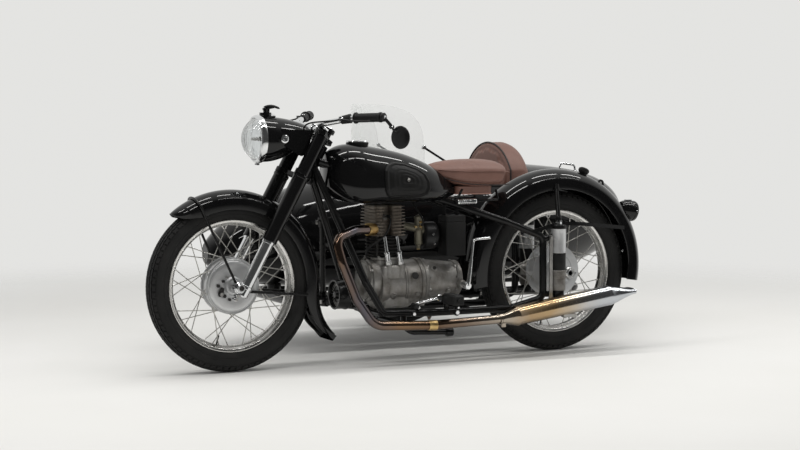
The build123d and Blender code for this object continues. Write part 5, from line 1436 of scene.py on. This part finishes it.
def makeSaddle():
    rows = []
    for t in np.linspace(0, 1, 40):
        x, low, high, wide = saddleShape(t)
        if t < 0.04 or t > 0.99:
            low, high, wide = low + 0.006, high - 0.008, wide * (0.7 if t < 0.04 else 0.95)
        lean = 0.038 * max(0, (t - 0.7) / 0.3) ** 1.3  # the rear end slopes forward to the pan
        rows.append([(p[0] + lean * (high - p[2]) / (high - low), p[1], p[2]) for p in saddleRow(x, low, high, wide)])
    thing = closedForm("saddleCover", rows)
    swell(thing, pads["cap"], (0.262, -0.138, 0.664), (0.572, 0.138, 0.7665))
    dress(thing, "leather", 60, "saddle")
    # piping where the top cover meets the side, and along the lower edge
    for label, height, finish, size in (("Upper", 0.6, "leather", 0.0018), ("Lower", 0.06, "piping", 0.002)):
        for s in both:
            path = []
            for t in np.linspace(0.1, 0.985, 60):
                x, low, high, wide = saddleShape(t)
                y = wide + (0.0012 if height > 0.3 else -0.001)
                path.append(vec(x, s * y, low + (high - low) * height))
            seam(f"saddlePiping{label}{hand[s]}", path, size, finish)


def makeSprings():
    pan = []
    for z, grow in ((0.634, -0.004), (0.6352, 0.0), (0.664, 0.0015), (0.666, -0.002)):
        outline = rounded([(0.318 - grow, -0.09 - grow), (0.466 + grow, -0.078 - grow), (0.466 + grow, 0.078 + grow),
            (0.318 - grow, 0.09 + grow)], 0.022, 8)
        pan.append([(x, y, z) for x, y in outline])
    piece("saddlePan", [grid(pan)], "leather", 50)
    ring = [vec(x, y, 0.6362) for x, y in rounded([(0.3175, -0.0906), (0.4665, -0.0786), (0.4665, 0.0786),
        (0.3175, 0.0906)], 0.022, 10)]
    seam("saddlePanPiping", ring, 0.0024, "palePiping", closed=True)
    shapes = []
    for s in both:
        rear, joint, front = (0.3, s * 0.096, 0.612), (0.398, s * 0.0932, 0.608), (0.476, s * 0.084, 0.606)
        shapes += [rod(rear, joint, 0.009), rod(joint, front, 0.006), rod(front, (0.446, s * 0.078, 0.655), 0.0095),
            rod(rear, (0.3, s * 0.08, 0.65), 0.0095)]
    piece("saddleFrame", shapes, "frameEnamel", 34, "saddle_springs")
    for s in both:
        spring(f"saddleSpring{hand[s]}", (0.402, s * 0.093, 0.608), (0.468, s * 0.086, 0.606),
            {"Turns": 8.0, "Radius": 0.01, "Wire": 0.0024}, "chrome")
        shapes = [revolved([(0, 0), (0, 0.011), (0.003, 0.012), (0.005, 0.011), (0.005, 0)], (x, s * y, 0.607), ahead,
            32) for x, y in ((0.396, 0.0934), (0.467, 0.0858))]
        piece(f"springCups{hand[s]}", shapes, "chrome")


def cushionRows(low, high, corner):  # a box with round corners and edges that tuck in
    low, high = np.asarray(low), np.asarray(high)
    middle, half = (low + high) / 2, (high - low) / 2
    rows = []
    for t in np.linspace(0, 1, 22):
        a = math.pi * (t - 0.5)
        shrink = math.cos(a) ** 0.42 if abs(math.cos(a)) > 1e-6 else 0.0
        z = middle[2] + half[2] * math.sin(a)
        inset = 0.03 * (1 - shrink)
        outline = rounded(rectangle(inset - half, half - inset), corner, 16)
        rows.append([(middle[0] + p[0], middle[1] + p[1], z) for p in outline])
    return rows


def makeSidecarSeat():
    low, high = pads["seat"]["low"], pads["seat"]["high"]
    thing = closedForm("sidecarSeatCover", cushionRows(low, high, pads["seat"]["corner"]))
    swell(thing, 0.01, (0.03, -0.775, 0.3805), (0.43, -0.345, 0.5))
    dress(thing, "leather", 60, "sidecar_seat")
    loop, middle = rounded(rectangle(low, high), pads["seat"]["corner"], 16), (vec(*low) + high)[:2] / 2
    ring = [vec(*(p + unit(p - middle) * 0.003), 0.462) for p in loop]
    seam("sidecarSeatPiping", ring, 0.0028, "piping", closed=True)


def backOutline(inset):  # the backrest's arch, across and up
    low, high, rise = pads["back"]["low"], pads["back"]["high"], pads["back"]["rise"]
    half = (high[1] - low[1]) / 2 - inset
    points = [(-half, low[2] + inset), (half, low[2] + inset)]
    sag = rise - inset * 0.3
    radius = (half * half + sag * sag) / (2 * sag)
    sweep = math.asin(min(1, half / radius))
    for a in np.linspace(sweep, -sweep, 60):
        points.append((radius * math.sin(a), high[2] + sag - inset * 0.7 - radius + radius * math.cos(a)))
    return rounded(points, 0.018, 4)


def makeBackrest():
    low, high = pads["back"]["low"], pads["back"]["high"]
    outlines = []
    for t in np.linspace(0, 1, 22):
        a = math.pi * (t - 0.5)
        soft = 0.042 if t < 0.5 else 0.01  # the back edge is rounder than the front one
        tuck = soft * (1 - max(math.cos(a), 0) ** (0.75 if t < 0.5 else 0.4))
        x = (low[0] + high[0]) / 2 + (high[0] - low[0]) / 2 * math.sin(a)
        outlines.append([(x, -0.56 + y, z) for y, z in backOutline(tuck)])
    count = min(len(o) for o in outlines)
    thing = closedForm("sidecarBackrestCover", [o[:count] for o in outlines])
    swell(thing, 0.009, (-0.1148, -0.761, 0.52), (-0.002, -0.359, 0.823))
    dress(thing, "leather", 60, "sidecar_backrest")
    ring = [vec(-0.0135, -0.56 + y, z) for y, z in backOutline(0.001)]
    seam("backrestPipingFront", ring, 0.0036, "piping", closed=True)


makeSaddle()
makeSprings()
makeSidecarSeat()
makeBackrest()
print("seats padded")


plunger = {"lead": 0.045, "side": 0.125,
    "sleeve": [(0.3985, 0.015), (0.3985, 0.029), (0.4, 0.0302), (0.406, 0.0302), (0.407, 0.0296), (0.49, 0.0296),
    (0.4925, 0.0302), (0.494, 0.0292), (0.494, 0.0278), (0.4575, 0.0278), (0.4575, 0.015)],
    "cap": [(0.4942, 0.0118), (0.4942, 0.0302), (0.4955, 0.0314), (0.508, 0.0314), (0.5105, 0.029), (0.5115, 0.02),
    (0.5115, 0.0118)], "band": [(0.3325, 0.015), (0.3325, 0.0275), (0.3345, 0.0287), (0.3965, 0.0287),
    (0.3985, 0.0275), (0.3985, 0.015)],
    "lower": [(0.252, 0.015), (0.252, 0.027), (0.254, 0.0285), (0.296, 0.0287), (0.297, 0.03), (0.301, 0.03),
    (0.302, 0.0288), (0.323, 0.029), (0.324, 0.0305), (0.33, 0.0305), (0.3315, 0.029), (0.3325, 0.027),
    (0.3325, 0.015)]}


def makePlungers():
    turned, nuts, clamps = {"sleeve": [], "cap": [], "band": [], "lower": []}, [], []
    for s in both:
        foot = vec(plunger["lead"], s * plunger["side"], 0)
        for label, shapes in turned.items():
            shapes.append(revolved(plunger[label], foot, up, 72))
        nuts += [hexagon(foot + up * 0.5113, up, 0.022, 0.015), rod(foot + up * 0.486, foot + up * 0.5188, 0.016)]
        # the clamp that holds the rear axle
        hold = vec(0, s * plunger["side"], 0.318)
        ring = [(-0.0135, 0.01), (-0.0135, 0.02), (-0.0115, 0.0222), (0.0115, 0.0222), (0.0135, 0.02), (0.0135, 0.01)]
        clamps.append(revolved(ring, hold, sideways, 64))
        web = rounded([(0.004, -0.018), (0.034, -0.022), (0.034, 0.02), (0.004, 0.018)], 0.004)
        clamps.append(slab(web, 0.022, hold - sideways * 0.011, ahead, up, 0.002))
        ear = rounded([(-0.03, -0.01), (-0.014, -0.012), (-0.014, 0.012), (-0.03, 0.01)], 0.004)
        clamps.append(slab(ear, 0.018, hold - sideways * 0.009, ahead, up, 0.002))
        nuts += [rod(hold - sideways * s * 0.023, hold + sideways * s * 0.0145, 0.0196),
            hexagon(vec(-0.024, s * (plunger["side"] + 0.009), 0.318), sideways * s, 0.01, 0.005)]
    clamps.append(rod((0, -0.142, 0.318), (0, 0.142, 0.318), 0.0196))
    clamps += [rod((0, s * 0.0626, 0.318), (0, s * 0.102, 0.318), 0.0296) for s in both]
    piece("plungerSleeves", turned["sleeve"], "satin", 34, "rear_plungers")
    piece("plungerBands", turned["band"], "moulded", 34)
    piece("plungerBodies", turned["lower"], "cast", 34)
    piece("plungerCaps", turned["cap"], "frameEnamel", 34)
    piece("axleClamps", clamps, "polished", 34)
    nuts += [hexagon((0, s * 0.136, 0.318), sideways * s, 0.027, 0.006) for s in both]
    piece("plungerNuts", nuts, "chrome", 30)
    bar = [(0.0735, 0.206), (0.0925, 0.206), (0.0925, 0.23), (0.0905, 0.236), (0.0905, 0.456), (0.088, 0.469),
        (0.078, 0.469), (0.0755, 0.456), (0.0755, 0.236), (0.0735, 0.23)]
    shapes = [slab(bar, 0.005, (0, 0.1358, 0), ahead, up, 0.0008),
        rod((0.083, 0.1122, 0.458), (0.083, 0.1415, 0.458), 0.0118),
        rod((0.083, 0.1315, 0.214), (0.083, 0.159, 0.2005), 0.0155)]
    piece("silencerHanger", shapes, "steel", 34, "silencer_hanger")


def makeDrive():
    bevel = [(-0.066, 0.01), (-0.066, 0.069), (-0.068, 0.0728), (-0.072, 0.0738), (-0.078, 0.0738), (-0.08, 0.0715),
        (-0.086, 0.0715), (-0.094, 0.069), (-0.0978, 0.061), (-0.0985, 0.0478), (-0.109, 0.047), (-0.1118, 0.043),
        (-0.112, 0.01)]
    shapes = [revolved(bevel, (0, 0, 0.318), sideways, 112),
        rod((0.1, -0.094, 0.3168), (0.052, -0.092, 0.3175), 0.044, 0.054, 40, 0.003),
        rod((0.452, -0.07, 0.2982), (0.452, -0.0978, 0.2999), 0.039, None, 40, 0.004)]
    piece("bevelBox", shapes, "cast", 30, "final_drive")
    shapes = [rod((0.448, -0.094, 0.3), (0.092, -0.094, 0.3164), 0.03, None, 32, 0.002),
        rod((0.43, -0.094, 0.3008), (0.412, -0.094, 0.3016), 0.0318, None, 32, 0.002)]
    piece("shaftTube", shapes, "frameEnamel", 34)
    marks = boltCircle(vec(0, -0.0955, 0.318), 0.064, 8, 22.5, -sideways)
    repeat("bevelBolts", hexagon((0, 0, 0), up, 0.009, 0.0045), marks, "steel", 30)


def makeTailLamp():
    middle, way = vec(-0.345, 0, 0.549), unit((-1, 0, -0.16))
    drum = [(-0.03, 0.03), (-0.02, 0.036), (0.002, 0.041), (0.004, 0.0416), (0.022, 0.0418), (0.0235, 0.0405),
        (0.025, 0.0405), (0.0265, 0.0418), (0.033, 0.0418), (0.0375, 0.04), (0.0395, 0.037), (0.0395, 0.033)]
    drumShape = revolved(drum + [(0.036, 0.032), (-0.03, 0.028)], middle, way, 72)
    block = box((-0.356, -0.023, 0.518), (-0.327, 0.023, 0.578), 0.008, 0.003)
    piece("tailLampBody", [drumShape, block], "enamel", 36, "tail_lamp")
    lens = [(0.036, 0), (0.036, 0.0322), (0.0395, 0.0318), (0.0425, 0.025), (0.044, 0.012), (0.0443, 0)]
    piece("tailLampLens", [revolved(lens, middle, way, 56)], "red", 40)
    top = middle + way * 0.01
    window = [box(top + vec(-0.014, -0.01, 0.037), top + vec(0.012, 0.01, 0.0445), 0.003, 0.001)]
    piece("tailLampTop", window, "chrome", 34)
    screw = hexagon(middle + way * 0.028 + sideways * 0.0405, sideways, 0.007, 0.003)
    piece("tailLampScrews", [screw], "chrome")


def makeControls():
    shaft = [rod((0.446, 0.056, 0.292), (0.446, 0.1275, 0.2861), 0.02, None, 32, 0.001),
        rod((0.446, 0.112, 0.2874), (0.446, 0.133, 0.2856), 0.03, 0.029, 36, 0.003)]
    lever = smoothPath([vec(0.446, 0.1265, 0.287), vec(0.442, 0.127, 0.308), vec(0.437, 0.1275, 0.35),
        vec(0.43, 0.128, 0.41), vec(0.425, 0.1285, 0.452), vec(0.4215, 0.129, 0.46), vec(0.41, 0.1295, 0.464),
        vec(0.382, 0.1298, 0.466), vec(0.353, 0.13, 0.4675)], 90)
    size = taper(90, [0, 0.08, 0.35, 0.4, 0.7, 0.74, 1.0], [0.0092, 0.0094, 0.008, 0.0066, 0.0064, 0.006, 0.0062])
    shaft.append(swept(lever, size, 20, 0.86))
    piece("kickStarter", shaft, "chrome", 36, "foot_controls")
    shapes = [rod((0.582, 0.06, 0.25), (0.582, 0.158, 0.25), 0.017),
        rod((0.582, 0.148, 0.25), (0.582, 0.161, 0.25), 0.025, None, 32, 0.002),
        swept(smoothPath([vec(0.582, 0.154, 0.25), vec(0.62, 0.158, 0.244), vec(0.66, 0.16, 0.238),
        vec(0.688, 0.16, 0.232)], 30), np.linspace(0.0056, 0.0046, 30), 16),
        rod((0.688, 0.144, 0.226), (0.688, 0.18, 0.226), 0.01), rod((0.61, -0.112, 0.19), (0.61, -0.16, 0.19), 0.019),
        swept(smoothPath([vec(0.61, -0.156, 0.19), vec(0.69, -0.157, 0.178), vec(0.756, -0.156, 0.171)], 30), 0.0058,
        16)]
    piece("footLevers", shapes, "chrome", 36)
    grip = []
    for k in range(5):
        grip += [(0.001 + k * 0.0076, 0.0098), (0.0056 + k * 0.0076, 0.0098), (0.0062 + k * 0.0076, 0.0086),
            (0.008 + k * 0.0076, 0.0086)]
    rubberEnd = [(0, 0)] + grip + [(0.0395, 0.0098), (0.04, 0.008), (0.04, 0)]
    shapes = [revolved(rubberEnd, (0.688, 0.1418, 0.226), sideways, 32)]
    plate = rounded(rectangle((-0.012, -0.024), (0.012, 0.024)), 0.006)
    shapes.append(slab(plate, 0.023, (0.752, -0.152, 0.1645), ahead, sideways, 0.003))
    piece("leverRubbers", shapes, "moulded", 34)


def makeFootrests():
    metal, blocks = [], []
    for s in both:
        metal += [rod((0.528, s * 0.1125, 0.1905), (0.545, s * 0.126, 0.244), 0.0195, None, 28, 0.002),
            rod((0.545, s * 0.118, 0.246), (0.545, s * 0.15, 0.246), 0.0175),
            rod((0.545, s * 0.124, 0.246), (0.545, s * 0.133, 0.246), 0.03, None, 32, 0.002)]
        outline = rounded([(-0.0225, -0.0185), (0.0225, -0.0185), (0.0225, 0.014), (0.015, 0.0185), (-0.015, 0.0185),
            (-0.0225, 0.014)], 0.006, 5)
        start = vec(0.545, 0.1465 if s > 0 else -0.2455, 0.246)
        blocks.append(slab(outline, 0.099, start + sideways * 0.099, ahead, up, 0.004))
        for k in range(9):
            y = s * (0.1545 + k * 0.0105)
            blocks.append(box((0.5275, y - 0.0024, 0.26), (0.5625, y + 0.0024, 0.2662), 0.0012, 0.0008))
        metal.append(rod((0.545, s * 0.244, 0.246), (0.545, s * 0.2498, 0.246), 0.016))
    piece("footrestPegs", metal, "frameEnamel", 34)
    piece("footrestRubbers", blocks, "moulded", 34, "footrests")


def makeStand():
    pivot = vec(0.712, 0, 0.152)
    shapes = []
    for s in both:
        legs = bent([pivot + vec(0, s * 0.078, 0), pivot + vec(-0.032, s * 0.112, -0.032),
            pivot + vec(-0.192, s * 0.112, -0.04)], 0.03, 10)
        shapes.append(swept(legs, 0.0108, 24))
        foot = pivot + vec(-0.178, s * 0.112, -0.0393)
        disc = [(-0.029, 0), (-0.029, 0.015), (-0.0275, 0.0172), (-0.006, 0.0176), (-0.001, 0.015), (0, 0.011), (0, 0)]
        shapes.append(revolved(disc, foot, ahead, 40))
    eye = [(-0.0938, 0.007), (-0.0938, 0.0105), (-0.0925, 0.0118), (0.0925, 0.0118), (0.0938, 0.0105), (0.0938, 0.007)]
    shapes.append(revolved(eye, pivot, sideways, 40))
    piece("centreStandLegs", shapes, "frameEnamel", 36, "centre_stand", body="centre_stand")


def makeHorn():
    middle = vec(0, -0.02, 0.262)
    bell = [(0.866, 0), (0.866, 0.0115), (0.8675, 0.0128), (0.884, 0.0128), (0.8845, 0.038), (0.886, 0.0398),
        (0.8915, 0.0398), (0.8922, 0.056), (0.8935, 0.0582), (0.897, 0.0588), (0.902, 0.0575), (0.906, 0.055),
        (0.936, 0.055), (0.9395, 0.057), (0.9415, 0.056), (0.9412, 0.05), (0.929, 0.047), (0.925, 0.03),
        (0.9255, 0.018), (0.932, 0.015), (0.938, 0.012), (0.94, 0)]
    shapes = [revolved(bell, middle, ahead, 96), rod((0.874, -0.021, 0.262), (0.8345, -0.106, 0.262), 0.0115)]
    piece("hornShell", shapes, "frameEnamel", 36, "horn")
    marks = boltCircle(middle + vec(0.9278, 0, 0), 0.0385, 24, 0, ahead)
    slot = box((-0.007, -0.0014, 0), (0.007, 0.0014, 0.002), 0.0007, 0.0004)
    repeat("hornGrille", slot, marks, "steel")


makePlungers()
makeDrive()
makeTailLamp()
makeControls()
makeFootrests()
makeStand()
makeHorn()
print("rear and controls made")


# along, bottom, top, half width
hull = {"sections": [(1.262, 0.35, 0.43, 0.034), (1.19, 0.3, 0.5, 0.118), (1.0, 0.252, 0.606, 0.2),
    (0.78, 0.236, 0.676, 0.254), (0.56, 0.23, 0.724, 0.282), (0.3, 0.23, 0.742, 0.29), (0.0, 0.232, 0.735, 0.288),
    (-0.25, 0.25, 0.715, 0.258), (-0.45, 0.3, 0.686, 0.196), (-0.6, 0.38, 0.62, 0.108), (-0.652, 0.44, 0.56, 0.044)],
    "middle": -0.56, "keel": 0.46}


def hullAt(x):
    table = np.array(hull["sections"])[::-1]
    return [float(np.interp(x, table[:, 0], table[:, i])) for i in (1, 2, 3)]


def deckHeight(x, y):  # the hull's upper skin over a place
    low, high, wide = hullAt(x)
    keel = low + hull["keel"] * (high - low)
    return keel + (high - keel) * math.sqrt(max(0, 1 - ((y - hull["middle"]) / wide) ** 2))


screen = {"front": 0.606, "side": 0.4, "half": 0.222, "thick": 0.004, "low": 0.6905, "foot": 0.742, "crown": 0.979,
    "across": 4.4, "over": 3.2}
edgeRoll = {"radius": 0.0075, "height": 0.64, "front": 0.52, "shoulder": 0.37, "rear": -0.128, "half": 0.238}
links = [((0.88, -0.315, 0.205), (0.79, -0.124, 0.206), 0.03), ((0.12, -0.315, 0.205), (0.25, -0.124, 0.192), 0.03),
    ((0.86, -0.315, 0.205), (0.962, -0.08, 0.56), 0.024), ((0.18, -0.315, 0.205), (0.262, -0.118, 0.516), 0.024)]


def makeScreen():  # a clear sheet bent round the cockpit's front, its top a soft arch
    reach = screen["front"] - screen["side"]
    r = (reach**2 + screen["half"]**2) / (2 * reach)
    middle, widest = screen["front"] - r, math.asin(screen["half"] / r)
    rows, foot = [], []
    for t in np.sin(np.linspace(-math.pi / 2, math.pi / 2, 121)) * widest:
        way = vec(math.cos(t), math.sin(t), 0)
        outer = vec(middle, hull["middle"], 0) + way * r
        high = (1 - (abs(t) / (widest + 0.001)) ** screen["across"]) ** (1 / screen["over"])
        high = screen["foot"] + (screen["crown"] - screen["foot"]) * high
        low = max(screen["low"], deckHeight(*outer[:2]) + 0.0006)
        thin = way * screen["thick"]
        heights = np.linspace(low, high - 0.0012, 9)
        ring = [outer + up * z for z in heights] + [outer - thin * 0.3 + up * high, outer - thin * 0.7 + up * high]
        rows.append(ring + [outer - thin + up * z for z in heights[::-1]])
        if abs(t) < 1.15:
            foot.append(outer - thin / 2 + up * (low + 0.0015))
    piece("sidecarScreen", [grid(rows)], "screen", 50, "sidecar_windscreen")
    piece("screenFootStrip", [swept(foot, 0.005, 12)], "moulded")
    shapes = []
    for s in both:
        spot = vec(0.402, hull["middle"] + s * 0.2195, 0.804)
        shapes += [rod(spot - sideways * 0.0065, spot + sideways * 0.0065, 0.016, None, 28),
            hexagon(spot + sideways * s * 0.0065, sideways * s, 0.01, 0.004)]
        foot = vec(0.15, hull["middle"] + s * 0.221, 0.642)
        shapes.append(box(foot + vec(-0.034, -0.009, -0.006), foot + vec(0.01, 0.009, 0.008), 0.004, 0.0015))
    piece("screenClamps", shapes, "chrome", 34)


def makeCockpit():
    edge, rear, shoulder, half = [], edgeRoll["rear"], edgeRoll["shoulder"], edgeRoll["half"]
    arch = arcPoints((shoulder, half), (edgeRoll["front"], 0), (shoulder, -half), 61)
    outline = [(x, half) for x in np.linspace(rear, shoulder, 26)[:-1]] + [tuple(p) for p in arch]
    outline += [(x, -half) for x in np.linspace(shoulder, rear, 26)[1:]] + [(rear, y)
        for y in np.linspace(-half, half, 41)[1:-1]]
    for x, y in outline:
        low, high, wide = hullAt(x)
        keel = low + hull["keel"] * (high - low)
        limit = wide * math.sqrt(max(0, 1 - ((edgeRoll["height"] - keel) / (high - keel)) ** 2))
        y = max(-limit, min(limit, y))
        edge.append(vec(x, hull["middle"] + y, max(edgeRoll["height"], deckHeight(x, hull["middle"] + y))))
    edge = np.array(edge)
    keep = [0] + [i for i in range(1, len(edge)) if np.linalg.norm(edge[i] - edge[i - 1]) > 0.003]
    seam("cockpitRoll", edge[keep], edgeRoll["radius"], "moulded", closed=True)


def makeSidecarFittings():
    y = hull["middle"]
    handle = bent([vec(-0.364, y, 0.69), vec(-0.368, y, 0.722), vec(-0.44, y, 0.712), vec(-0.444, y, 0.676)], 0.014, 8)
    shapes = [swept(handle, 0.0046, 20)]
    for x in (-0.364, -0.444):
        top = deckHeight(x, y)
        shapes.append(rod((x, y, top - 0.004), (x, y, top + 0.0045), 0.02, 0.016, 28, 0.001))
    piece("deckHandle", shapes, "chrome", 50, "deck_handle")
    side = wheelMiddle["sidecar"]
    way = unit((0.065, 0, 0.356))
    middle = side + way * 0.404
    body = [(-0.0345, 0), (-0.0345, 0.006), (-0.0325, 0.013), (-0.027, 0.02), (-0.018, 0.025), (-0.006, 0.0275),
        (0.018, 0.0278), (0.0205, 0.027), (0.0215, 0)]
    piece("sidecarLamp", [revolved(body, middle, ahead, 56),
        rod(side + way * 0.3625, side + way * 0.392, 0.018, 0.015, 28, 0.001)], "enamel", 40, "sidecar_lamp")
    ring = [(0.0195, 0.0235), (0.0195, 0.0272), (0.022, 0.0279), (0.027, 0.0276), (0.0285, 0.0255), (0.0285, 0.0235)]
    glass = [(0.0212, 0), (0.0212, 0.024), (0.0285, 0.0236), (0.0325, 0.017), (0.0343, 0.008), (0.0346, 0)]
    piece("sidecarLampRing", [revolved(ring, middle, ahead, 56)], "chrome", 40)
    piece("sidecarLampGlass", [revolved(glass, middle, ahead, 48)], "glass", 40)
    shapes, nuts = [], []
    for start, end, thick in links:
        start, end = vec(*start), vec(*end)
        along = unit(end - start)
        shapes += [rod(end - along * 0.052, end - along * 0.018, thick + 0.01, None, 32, 0.002),
            rod(start + along * 0.02, start + along * 0.05, thick + 0.009, None, 32, 0.002)]
        for spot in (end - along * 0.035, start + along * 0.035):
            facing = unit(np.cross(along, up))
            nuts += [hexagon(spot + facing * (thick / 2 + 0.0048), facing, 0.015, 0.007),
                hexagon(spot - facing * (thick / 2 + 0.0048), -facing, 0.015, 0.0055)]
    piece("linkClamps", shapes, "frameEnamel", 34)
    piece("linkNuts", nuts, "steel", 30)


def makeRailBolts():  # the bolts that show on the lower rails
    shapes, lugs = [], []
    for s in both:
        for x, z, wide, out in ((0.493, 0.187, 0.015, 0.006), (0.488, 0.205, 0.008, 0.004),
                (0.676, 0.19, 0.012, 0.005)):
            spot = vec(x, s * 0.124, z)
            lugs.append(rod(spot - sideways * s * 0.01, spot + sideways * s * 0.0045, wide * 1.75, None, 32, 0.001))
            shapes.append(hexagon(spot + sideways * s * 0.0045, sideways * s, wide, out))
    spot = vec(0.655, 0.124, 0.213)
    lugs.append(rod(vec(0.655, 0.118, 0.196), spot, 0.012))
    shapes.append(rod(spot - sideways * 0.004, spot + sideways * 0.01, 0.015, 0.012, 28, 0.003))
    tab = rounded([(-0.015, 0.004), (0.015, 0.004), (0.006, -0.018), (-0.002, -0.018)], 0.002)
    shapes.append(slab(tab, 0.004, vec(0.577, 0.062, 0.174), ahead, up, 0.0006))
    piece("railLugs", lugs, "frameEnamel", 34)
    piece("railBolts", shapes, "chrome", 30)


makeScreen()
makeCockpit()
makeSidecarFittings()
makeRailBolts()
print("sidecar fittings made")
